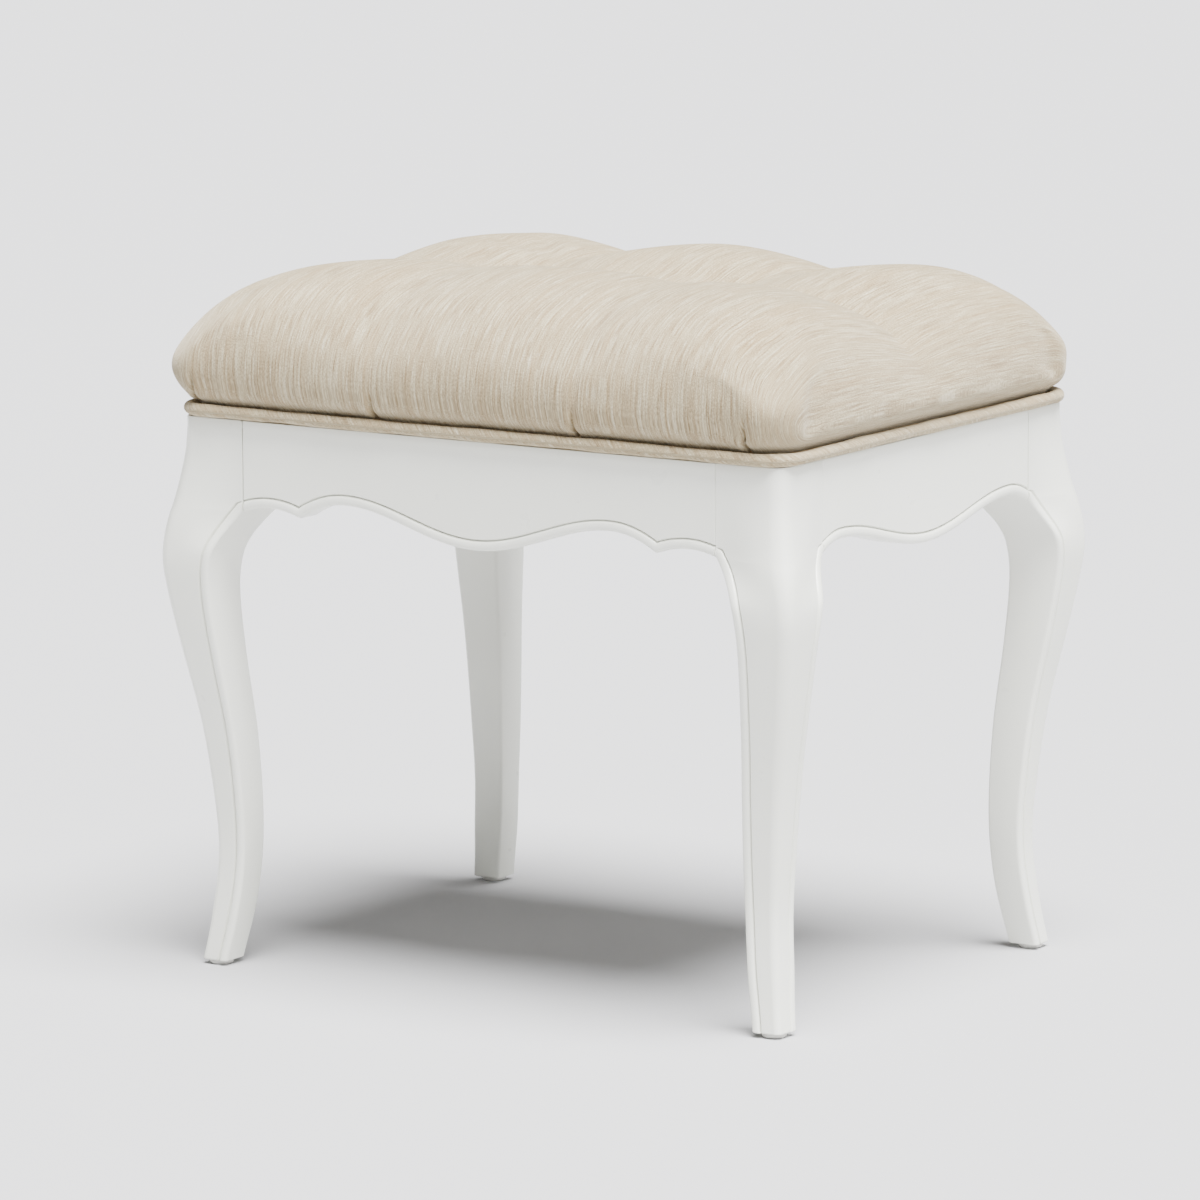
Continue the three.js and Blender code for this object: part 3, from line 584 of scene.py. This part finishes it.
wide_breaks = [WIDE["cusp"], WIDE["shoulder"], WIDE["crest"]]
build_apron("apron_front", WIDE_HALF, wide_groove, wide_breaks, lambda u, v, z: (u, -HALF_DEPTH + v, z))
build_apron("apron_back", WIDE_HALF, wide_groove, wide_breaks, lambda u, v, z: (-u, HALF_DEPTH - v, z))
build_apron("apron_right", DEEP_HALF, deep_groove, [DEEP_SHOULDER], lambda u, v, z: (HALF_WIDTH - v, u, z))
build_apron("apron_left", DEEP_HALF, deep_groove, [DEEP_SHOULDER], lambda u, v, z: (-HALF_WIDTH + v, -u, z))


# ------------------------------------------------------------------ seat form

# Height, distance outside the frame's face, corner radius. The smooth dome under the tufting.
SEAT_OUTLINE = ((372, -3.0, 21), (375, -2.0, 22), (379, 4.0, 24), (385, 8.2, 26), (394, 10.6, 28),
                (403, 11.0, 29), (413, 9.6, 31), (423, 5.4, 34), (432, -1.6, 38), (440, -11.5, 43),
                (447.5, -25, 50), (454.2, -44, 58), (459.4, -68, 64), (462.8, -96, 66), (464.4, -128, 48))
COVER_THICKNESS = 2.0 * MM
FOAM_INSET = 7 * MM
BOARD_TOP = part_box("seat_board")[1].z
LEAN = np.array((-2.7, -1.5)) * MM       # the stuffing sits a little to the left and front
CORNER_DROP = 12.5 * MM
HALF_SPAN_X = TUFT_X                     # from a valley over a tuft to the crest beside it
HALF_SPAN_Y = 88 * MM                    # from the cross valley to the crest before or behind it
BACK_DRIFT = 18 * MM                     # how far the back valleys run to the right of the tufts
CROSS_DRIFT = -12 * MM                   # how far the cross valley runs to the front at its ends


def seat_ring(z, grow, radius, steps=14, straight=18):
    """Rounded rectangle around the frame, with points along its straight sides too."""
    half_x = HALF_WIDTH + grow
    half_y = HALF_DEPTH + grow
    radius = min(radius, half_x - MM, half_y - MM)
    ring = []
    for quarter, (sx, sy) in enumerate(((1, 1), (-1, 1), (-1, -1), (1, -1))):
        centre = np.array((sx * (half_x - radius), sy * (half_y - radius)))
        for i in range(steps + 1):
            angle = (quarter + i / steps) * math.pi / 2
            ring.append(centre + radius * np.array((math.cos(angle), math.sin(angle))))
    full = []
    for i, point in enumerate(ring):
        full.append(point)
        if (i + 1) % (steps + 1) == 0:
            after = ring[(i + 1) % len(ring)]
            full += [point + (after - point) * t for t in np.linspace(0, 1, straight + 2)[1:-1]]
    return [(x, y, z) for x, y in full]


def seat_dome():
    heights = smooth_curve([(i, z * MM) for i, (z, _, _) in enumerate(SEAT_OUTLINE)])
    grows = smooth_curve([(i, g * MM) for i, (_, g, _) in enumerate(SEAT_OUTLINE)])
    radii = smooth_curve([(i, r * MM) for i, (_, _, r) in enumerate(SEAT_OUTLINE)])
    steps = np.linspace(0, len(SEAT_OUTLINE) - 1, 4 * len(SEAT_OUTLINE))
    return loft([seat_ring(heights(t), grows(t), radii(t)) for t in steps])


# How the tufting pulls the dome down. Valley depths are in millimetres.
FRONT_VALLEY = 7
BACK_VALLEY_EXTRA = 7
CROSS_VALLEY = 12.5
CROSS_VALLEY_EXTRA = 2.5                 # between the two tufts
VALLEY_POWER = 1.6
FUNNEL_DEPTH = 37 * MM
FUNNEL_REACH = 18 * MM
FUNNEL_POWER = 1.2
BLEND_POWER = 2.4
BACK_DRIFT_RUN = (5 * MM, 90 * MM)       # y between which the back valleys drift
CROSS_DRIFT_RUN = (85 * MM, 170 * MM)    # |x| between which the cross valley drifts
BACK_FADE = (-60 * MM, 30 * MM)          # y between which the back valleys deepen
BETWEEN_FADE = (60 * MM, 110 * MM)       # |x| between which the cross valley becomes shallower
CORNER_X = (165 * MM, 240 * MM)
CORNER_Y = (115 * MM, 190 * MM)
TUFT_FADE = (388 * MM, 446 * MM)         # heights between which the tufting takes hold
CORNER_FADE = (386 * MM, 432 * MM)
LEAN_FADE = (376 * MM, 396 * MM)
TURN_DOWN = (0.25, 0.95)                 # level parts of a normal between which the cloth turns down


def tuft_depth(x, y):
    """How far the tufting pulls the smooth dome down at (x, y), in metres."""
    along = x - BACK_DRIFT * smoothstep(y, *BACK_DRIFT_RUN)
    across = y - CROSS_DRIFT * smoothstep(np.abs(x), *CROSS_DRIFT_RUN)
    from_line_x = np.minimum(np.abs(along - TUFT_X), np.abs(along + TUFT_X))
    reach_x = np.clip(1 - from_line_x / HALF_SPAN_X, 0, 1) ** VALLEY_POWER
    reach_y = np.clip(1 - np.abs(across) / HALF_SPAN_Y, 0, 1) ** VALLEY_POWER
    back = smoothstep(y, *BACK_FADE)
    between = 1 - smoothstep(np.abs(x), *BETWEEN_FADE)
    valley_x = (FRONT_VALLEY + BACK_VALLEY_EXTRA * back) * MM * reach_x
    valley_y = (CROSS_VALLEY + CROSS_VALLEY_EXTRA * between) * MM * reach_y
    from_tuft = np.hypot(np.abs(x) - TUFT_X, y)
    funnel = FUNNEL_DEPTH * np.exp(-(from_tuft / FUNNEL_REACH) ** FUNNEL_POWER)
    blended = valley_x ** BLEND_POWER + valley_y ** BLEND_POWER + funnel ** BLEND_POWER
    return blended ** (1 / BLEND_POWER)


def seat_shape(points):
    """Moves points of the smooth dome to the tufted shape."""
    x, y, z = points.T
    upward = smoothstep(z, *TUFT_FADE)
    corner = smoothstep(np.abs(x), *CORNER_X) * smoothstep(np.abs(y), *CORNER_Y)
    drop = tuft_depth(x, y) * upward + CORNER_DROP * corner * smoothstep(z, *CORNER_FADE)
    moved = points.copy()
    moved[:, 2] -= drop
    moved[:, :2] += LEAN * smoothstep(z, *LEAN_FADE)[:, None]
    return moved


def cloth_place(points, normals):
    """Each point's place on the flat cloth that was pulled over the pad."""
    x, y, z = points.T
    drop = np.clip(SEAT_TOP - z, 0, None)
    level = np.hypot(normals[:, 0], normals[:, 1]) + 1e-6
    toward_x = (normals[:, 0] / level) ** 2
    toward_y = (normals[:, 1] / level) ** 2
    steep = smoothstep(level, *TURN_DOWN)
    along_x = x + np.sign(x) * drop * toward_x * steep
    along_y = y + np.sign(y) * drop * toward_y * steep
    return np.stack([along_x, along_y, np.zeros_like(z)], axis=1)


def evened(mesh, values, rounds=40):
    """Values at the mesh's points, each drawn toward the mean of its neighbours."""
    pairs = np.empty(len(mesh.edges) * 2, int)
    mesh.edges.foreach_get("vertices", pairs)
    one, other = pairs.reshape(-1, 2).T
    count = np.bincount(pairs, minlength=len(values))[:, None]
    for _ in range(rounds):
        total = np.zeros_like(values)
        for k in range(values.shape[1]):
            total[:, k] = np.bincount(one, values[other, k], len(values))
            total[:, k] += np.bincount(other, values[one, k], len(values))
        values = (values + total / count) / 2
    return values


def read_points(mesh):
    points = np.empty(len(mesh.vertices) * 3)
    mesh.vertices.foreach_get("co", points)
    return points.reshape(-1, 3)


def write_points(mesh, points):
    mesh.vertices.foreach_set("co", points.astype(np.float32).ravel())
    mesh.update()


def read_normals(mesh):
    normals = np.empty(len(mesh.vertices) * 3)
    mesh.vertex_normals.foreach_get("vector", normals)
    return normals.reshape(-1, 3)


def store_cloth_place(mesh, values):
    attribute = mesh.attributes.new("cloth_place", "FLOAT_VECTOR", "POINT")
    attribute.data.foreach_set("vector", values.astype(np.float32).ravel())


def apply_modifiers(piece):
    graph = bpy.context.evaluated_depsgraph_get()
    mesh = bpy.data.meshes.new_from_object(piece.evaluated_get(graph))
    old = piece.data
    piece.modifiers.clear()
    piece.data = mesh
    bpy.data.meshes.remove(old)
    return mesh


VOXEL = 4.5 * MM
FOAM_VOXEL = 7 * MM
SWELL_FRAMES = 20
SWELL_LIMIT = 3.5 * MM
HELD_FOOT = (376 * MM, 384 * MM)         # the cloth is held below, and free above
HELD_TUFT = (9 * MM, 18 * MM)            # the cloth is held inside, and free outside
CLOTH_MASS = 0.3
CLOTH_PRESSURE = 4.0


def even_dome(name, material, voxel):
    """The smooth dome, remeshed into even squares and laid back on its surface."""
    vertices, faces = seat_dome()
    smooth = BVHTree.FromPolygons([Vector(v) for v in vertices], faces)
    piece = mesh_object(name, vertices, faces, material, smooth_angle=60)
    remesh = piece.modifiers.new("remesh", "REMESH")
    remesh.mode = "VOXEL"
    remesh.voxel_size = voxel
    mesh = apply_modifiers(piece)
    points = np.array([tuple(smooth.find_nearest(Vector(p))[0]) for p in read_points(mesh)])
    return piece, points


def swell(piece):
    """Lets the cloth settle under the push of the stuffing, held at its foot and at the tufts."""
    start = read_points(piece.data)
    x, y, z = start.T
    from_tuft = np.hypot(np.abs(x) - TUFT_X, y)
    held = np.maximum(1 - smoothstep(z, *HELD_FOOT), 1 - smoothstep(from_tuft, *HELD_TUFT))
    group = piece.vertex_groups.new(name="held")
    for i in np.nonzero(held > 0.01)[0]:
        group.add([int(i)], float(held[i]), "REPLACE")
    cloth = piece.modifiers.new("cloth", "CLOTH")
    cloth.settings.quality = 5
    cloth.settings.mass = CLOTH_MASS
    cloth.settings.use_pressure = True
    cloth.settings.uniform_pressure_force = CLOTH_PRESSURE
    cloth.settings.vertex_group_mass = "held"
    cloth.settings.effector_weights.gravity = 0
    cloth.collision_settings.use_collision = False
    scene = bpy.context.scene
    for moment in range(1, SWELL_FRAMES + 1):
        scene.frame_set(moment)
    mesh = apply_modifiers(piece)
    scene.frame_set(1)
    piece.vertex_groups.clear()
    shift = read_points(mesh) - start
    length = np.linalg.norm(shift, axis=1) + 1e-9
    shift *= (SWELL_LIMIT * np.tanh(length / SWELL_LIMIT) / length)[:, None]
    write_points(mesh, start + shift)


# Places along the front and back where the cover is folded in above the piping.
FOLDS = ((-218 * MM, 398 * MM), (-TUFT_X, 394 * MM), (TUFT_X, 396 * MM), (204 * MM, 399 * MM))
FOLD_REACH = 6 * MM
FOLD_BAND = HALF_DEPTH - 8 * MM          # nearer to the middle than this, there are no folds
FOLD_DEPTH = 3.2 * MM
FOLD_WIDTH = 1.1                         # millimetres
FOLD_SLANT = 0.1                         # sideways run for each unit of height
FOLD_FADE = 11 * MM
FOLD_LIP = 0.9 * MM
LIP_PLACE = 4.5                          # millimetres to the left of the fold
LIP_WIDTH = 3.2
UNDERSIDE_TOP = 373.5 * MM


def near_fold(point):
    if abs(point.y) < FOLD_BAND:
        return False
    return any(abs(point.x - x) < FOLD_REACH and point.z < top + FOLD_REACH for x, top in FOLDS)


def fold_dip(x, z):
    """Depth of the narrow folds, with the cloth standing proud on their left sides."""
    dip = np.zeros_like(x)
    for place, top in FOLDS:
        aside = (x - place - FOLD_SLANT * (z - SEAT_BASE)) / MM
        fade = 1 - smoothstep(z, top - FOLD_FADE, top)
        dip += fade * FOLD_DEPTH * np.exp(-(aside / FOLD_WIDTH) ** 2)
        dip -= fade * FOLD_LIP * np.exp(-((aside + LIP_PLACE) / LIP_WIDTH) ** 2)
    return dip


def press_folds(mesh):
    work = bmesh.new()
    work.from_mesh(mesh)
    for _ in range(2):
        close = [e for e in work.edges if all(near_fold(v.co) for v in e.verts)]
        bmesh.ops.subdivide_edges(work, edges=close, cuts=1, use_grid_fill=True)
    work.to_mesh(mesh)
    work.free()
    points = read_points(mesh)
    normals = read_normals(mesh)
    x, y, z = points.T
    facing = smoothstep(np.abs(y), FOLD_BAND, HALF_DEPTH - 2 * MM)
    write_points(mesh, points - normals * (fold_dip(x, z) * facing)[:, None])


def open_base(mesh):
    """Takes away the flat underside, so that the cover is a skin and not a block."""
    work = bmesh.new()
    work.from_mesh(mesh)
    under = [f for f in work.faces if f.normal.z < -0.9 and f.calc_center_median().z < UNDERSIDE_TOP]
    bmesh.ops.delete(work, geom=under, context="FACES")
    work.to_mesh(mesh)
    work.free()


def add_thickness(piece, thickness, offset=-1):
    solid = piece.modifiers.new("thickness", "SOLIDIFY")
    solid.thickness = thickness
    solid.offset = offset
    return apply_modifiers(piece)


def build_cushion():
    piece, points = even_dome("tufted_cushion", SEAT_FABRIC, VOXEL)
    write_points(piece.data, seat_shape(points))
    swell(piece)
    divide = piece.modifiers.new("divide", "SUBSURF")
    divide.levels = 1
    divide.render_levels = 1
    mesh = apply_modifiers(piece)
    places = cloth_place(read_points(mesh), read_normals(mesh))
    store_cloth_place(mesh, evened(mesh, places))
    open_base(mesh)
    press_folds(mesh)
    mesh = add_thickness(piece, COVER_THICKNESS)
    mesh.shade_smooth()
    finish_piece(piece, "seat_cover")


def build_foam():
    piece, points = even_dome("foam_core", FOAM, FOAM_VOXEL)
    write_points(piece.data, seat_shape(points))
    points = read_points(piece.data) - read_normals(piece.data) * FOAM_INSET
    points[:, 2] = np.maximum(points[:, 2], BOARD_TOP + 0.3 * MM)
    write_points(piece.data, points)
    piece.data.shade_smooth()
    finish_piece(piece, "foam_pad")


# Share of a button's radius and of its rise, from the turned-under rim to the crown.
BUTTON_PROFILE = ((0.55, 0.0), (0.85, 0.03), (0.96, 0.14), (1.0, 0.30), (0.99, 0.45), (0.93, 0.64),
                  (0.80, 0.80), (0.60, 0.91), (0.35, 0.98), (0.12, 1.0))
BUTTON_SIDES = 48
BUTTON_TUCKS = 12


def build_button(node):
    """Cloth-covered button with a domed face and a turned-under rim."""
    low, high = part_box(node)
    middle_x = (low.x + high.x) / 2
    radius = (high.x - low.x) / 2
    rise = high.z - low.z
    rings = []
    for reach, height in BUTTON_PROFILE:
        ring = []
        for k in range(BUTTON_SIDES):
            angle = 2 * math.pi * k / BUTTON_SIDES
            tuck = 1 - 0.02 * math.sin(angle * BUTTON_TUCKS) * (1 - height)
            side = radius * reach * tuck
            ring.append((middle_x + side * math.cos(angle), side * math.sin(angle), low.z + rise * height))
        rings.append(ring)
    piece = mesh_object("covered_" + node, *loft(rings), SEAT_FABRIC, smooth_angle=80)
    store_cloth_place(piece.data, read_points(piece.data))
    finish_piece(piece, node)


build_cushion()
build_foam()
build_button("tuft_button_left")
build_button("tuft_button_right")


# ------------------------------------------------------------------ welt

WELT_RADIUS = (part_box("welt")[1].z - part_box("welt")[0].z) / 2
WELT_CORNER = 22 * MM
WELT_SIDES = 20
WELT_ROUNDNESS = 0.96                    # share of the cord's radius that the cloth is pulled to
WELT_SINK = 0.35 * MM
# Height, rate per metre and start of each wave along the cord: in its radius, and in its height.
WELT_RIPPLE = ((0.22 * MM, 61, 0), (0.16 * MM, 143, 1))
WELT_LIFT = ((0.20 * MM, 23, 0.7),)
# The piping's cloth is cut on the bias: its place on the flat cloth, from the ways along and round the cord.
WELT_BIAS = ((0.72, 0.7), (-0.7, 0.9))


def waves(s, parts):
    return sum(height * math.sin(s * rate + shift) for height, rate, shift in parts)


def welt_path():
    """Centre line, outward direction and distance along it for each ring of the cord."""
    half_x = WELT_HALF_X - WELT_RADIUS
    half_y = WELT_HALF_Y - WELT_RADIUS
    centre = np.array(seat_ring(0, 0, WELT_CORNER, steps=24, straight=90))[:, :2]
    centre[:, 0] *= half_x / HALF_WIDTH
    centre[:, 1] *= half_y / HALF_DEPTH
    length = np.concatenate([[0], np.cumsum(np.linalg.norm(np.diff(centre, axis=0), axis=1))])
    ahead = np.roll(centre, -1, axis=0) - np.roll(centre, 1, axis=0)
    outward = np.stack([ahead[:, 1], -ahead[:, 0]], axis=1)
    outward /= np.linalg.norm(outward, axis=1)[:, None]
    return zip(centre, outward, length)


def build_welt():
    """Cloth-covered cord round the foot of the cushion, slightly uneven as sewn piping is."""
    rings = []
    places = []
    for (x, y), (ox, oy), s in welt_path():
        lift = waves(s, WELT_LIFT) - WELT_SINK
        radius = WELT_RADIUS * WELT_ROUNDNESS + waves(s, WELT_RIPPLE)
        ring = []
        for k in range(WELT_SIDES):
            angle = 2 * math.pi * k / WELT_SIDES
            reach = radius * math.cos(angle)
            ring.append((x + ox * reach, y + oy * reach, WELT_Z + lift + radius * math.sin(angle)))
            places.append([along * s + round_it * (radius * angle) for along, round_it in WELT_BIAS] + [0])
        rings.append(ring)
    vertices, faces = loft(rings, path_closed=True)
    piece = mesh_object("piped_welt", vertices, faces, SEAT_FABRIC, smooth_angle=80)
    store_cloth_place(piece.data, np.array(places))
    finish_piece(piece, "welt")


build_welt()


# ------------------------------------------------------------------ dust cover

LINING_COLUMNS = 90
LINING_ROWS = 70
LINING_SAG = 0.8 * MM
LINING_RIPPLE = 0.25 * MM
LINING_LIFT = 0.1 * MM
LINING_THICKNESS = 0.4 * MM


def build_dust_cover():
    """Thin lining stretched under the seat board, slightly loose between its edges."""
    low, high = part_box("dust_cover")
    width = high.x - low.x
    depth = high.y - low.y
    vertices = []
    for j in range(LINING_ROWS + 1):
        for i in range(LINING_COLUMNS + 1):
            u = i / LINING_COLUMNS
            v = j / LINING_ROWS
            loose = math.sin(math.pi * u) * math.sin(math.pi * v)
            ripple = LINING_RIPPLE * loose * math.sin(19 * u + 3 * math.sin(7 * v)) * math.sin(11 * v + 1)
            height = low.z + LINING_LIFT - LINING_SAG * loose + ripple
            vertices.append((low.x + width * u, low.y + depth * v, height))
    faces = []
    for j in range(LINING_ROWS):
        for i in range(LINING_COLUMNS):
            k = j * (LINING_COLUMNS + 1) + i
            above = k + LINING_COLUMNS + 1
            faces.append((k, k + 1, above + 1, above))
    piece = mesh_object("lining_dust_cover", vertices, faces, LINING, smooth_angle=60)
    mesh = add_thickness(piece, LINING_THICKNESS, 1)
    mesh.shade_smooth()
    finish_piece(piece, "dust_cover")


build_dust_cover()


# ------------------------------------------------------------------ hardware, blocks and board

WELD_DISTANCE = 1e-5
FLAT_ANGLE = math.radians(2)             # faces that meet flatter than this are joined
EASE_ANGLE = math.radians(35)            # edges sharper than this are eased
SHARP_ANGLE = math.radians(50)


def eased_copy(node, material, width):
    """The CAD form with its hard edges eased, in place of the plain solid."""
    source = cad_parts[node]
    mesh = source.data.copy()
    mesh.transform(source.matrix_world)
    mesh.materials.clear()
    mesh.materials.append(material)
    work = bmesh.new()
    work.from_mesh(mesh)
    bmesh.ops.remove_doubles(work, verts=work.verts, dist=WELD_DISTANCE)
    bmesh.ops.dissolve_limit(work, angle_limit=FLAT_ANGLE, verts=work.verts, edges=work.edges)
    work.to_mesh(mesh)
    work.free()
    for face in mesh.polygons:
        face.material_index = 0
    piece = bpy.data.objects.new("eased_" + node, mesh)
    bpy.context.scene.collection.objects.link(piece)
    bevel = piece.modifiers.new("ease", "BEVEL")
    bevel.width = width
    bevel.segments = 3
    bevel.limit_method = "ANGLE"
    bevel.angle_limit = EASE_ANGLE
    bevel.harden_normals = False
    mesh = apply_modifiers(piece)
    mesh.shade_smooth()
    mesh.set_sharp_from_angle(angle=SHARP_ANGLE)
    finish_piece(piece, node)


# Name's start, material, slot, width of the eased edges.
EASED = (("corner_block", BARE_WOOD, "bare_wood", 0.8 * MM), ("dowel", BARE_WOOD, "bare_wood", 0.6 * MM),
         ("leg_bolt", STEEL, "zinc_steel", 0.3 * MM), ("washer", STEEL, "zinc_steel", 0.2 * MM),
         ("nut", STEEL, "zinc_steel", 0.4 * MM), ("seat_screw", STEEL, "zinc_steel", 0.2 * MM),
         ("glide", NYLON, "glide", 0.4 * MM), ("seat_board", PLYWOOD, "plywood", 0.6 * MM),
         ("tuft_twine", TWINE, "twine", 0.2 * MM))


def material_for(node):
    kinds = {prefix: material for prefix, material, _, _ in EASED}
    kinds.update({"foam_pad": FOAM, "dust_cover": LINING, "tuft_button": SEAT_FABRIC,
                  "seat_cover": SEAT_FABRIC, "welt": SEAT_FABRIC})
    return next((material for prefix, material in kinds.items() if node.startswith(prefix)), PAINT)


for node_name, node_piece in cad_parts.items():
    for prefix, look, slot_name, ease in EASED:
        if node_name.startswith(prefix):
            eased_copy(node_name, look, ease)
    node_piece.data.materials.clear()
    node_piece.data.materials.append(material_for(node_name))
    for node_face in node_piece.data.polygons:
        node_face.material_index = 0


# ------------------------------------------------------------------ floor and light

SEAT_MIDDLE = (0, 0, 0.3)
FLOOR_REACH = 14.0
FLOOR_GREY = (0.46, 0.46, 0.47, 1)
WORLD_COLOUR = (0.93, 0.93, 0.92, 1)
WORLD_STRENGTH = 0.25
DAYLIGHT = {"toward": (0.26, -0.10, 0.95), "strength": 17.5, "spread": math.radians(38)}
SIDE_WINDOW = {"place": (2.8, -1.2, 1.7), "size": (2.2, 1.8), "power": 58}
FRONT_FILL = {"place": (-2.8, -2.0, 1.3), "size": (1.6, 1.4), "power": 8}


def add_floor():
    mesh = bpy.data.meshes.new("floor")
    corners = [(sx * FLOOR_REACH, sy * FLOOR_REACH, 0) for sx, sy in ((-1, -1), (1, -1), (1, 1), (-1, 1))]
    mesh.from_pydata(corners, [], [(0, 1, 2, 3)])
    floor = bpy.data.objects.new("floor", mesh)
    bpy.context.scene.collection.objects.link(floor)
    material = bpy.data.materials.new("floor")
    material.use_nodes = True
    shader = material.node_tree.nodes["Principled BSDF"]
    shader.inputs["Base Color"].default_value = FLOOR_GREY
    shader.inputs["Roughness"].default_value = 0.9
    mesh.materials.append(material)


def add_area_light(name, place, size, power):
    """A soft panel that faces the middle of the seat."""
    data = bpy.data.lights.new(name, "AREA")
    data.shape = "RECTANGLE"
    data.size, data.size_y = size
    data.energy = power
    light = bpy.data.objects.new(name, data)
    light.location = place
    light.rotation_euler = (Vector(SEAT_MIDDLE) - Vector(place)).to_track_quat("-Z", "Y").to_euler()
    bpy.context.scene.collection.objects.link(light)


def add_sun(name, toward, strength, spread):
    data = bpy.data.lights.new(name, "SUN")
    data.energy = strength
    data.angle = spread
    light = bpy.data.objects.new(name, data)
    light.rotation_euler = Vector(toward).to_track_quat("Z", "Y").to_euler()
    bpy.context.scene.collection.objects.link(light)


def add_world():
    world = bpy.data.worlds.new("studio")
    world.use_nodes = True
    background = world.node_tree.nodes["Background"]
    background.inputs["Color"].default_value = WORLD_COLOUR
    background.inputs["Strength"].default_value = WORLD_STRENGTH
    bpy.context.scene.world = world


add_floor()
add_world()
add_sun("daylight", **DAYLIGHT)
add_area_light("side_window", **SIDE_WINDOW)
add_area_light("front_fill", **FRONT_FILL)
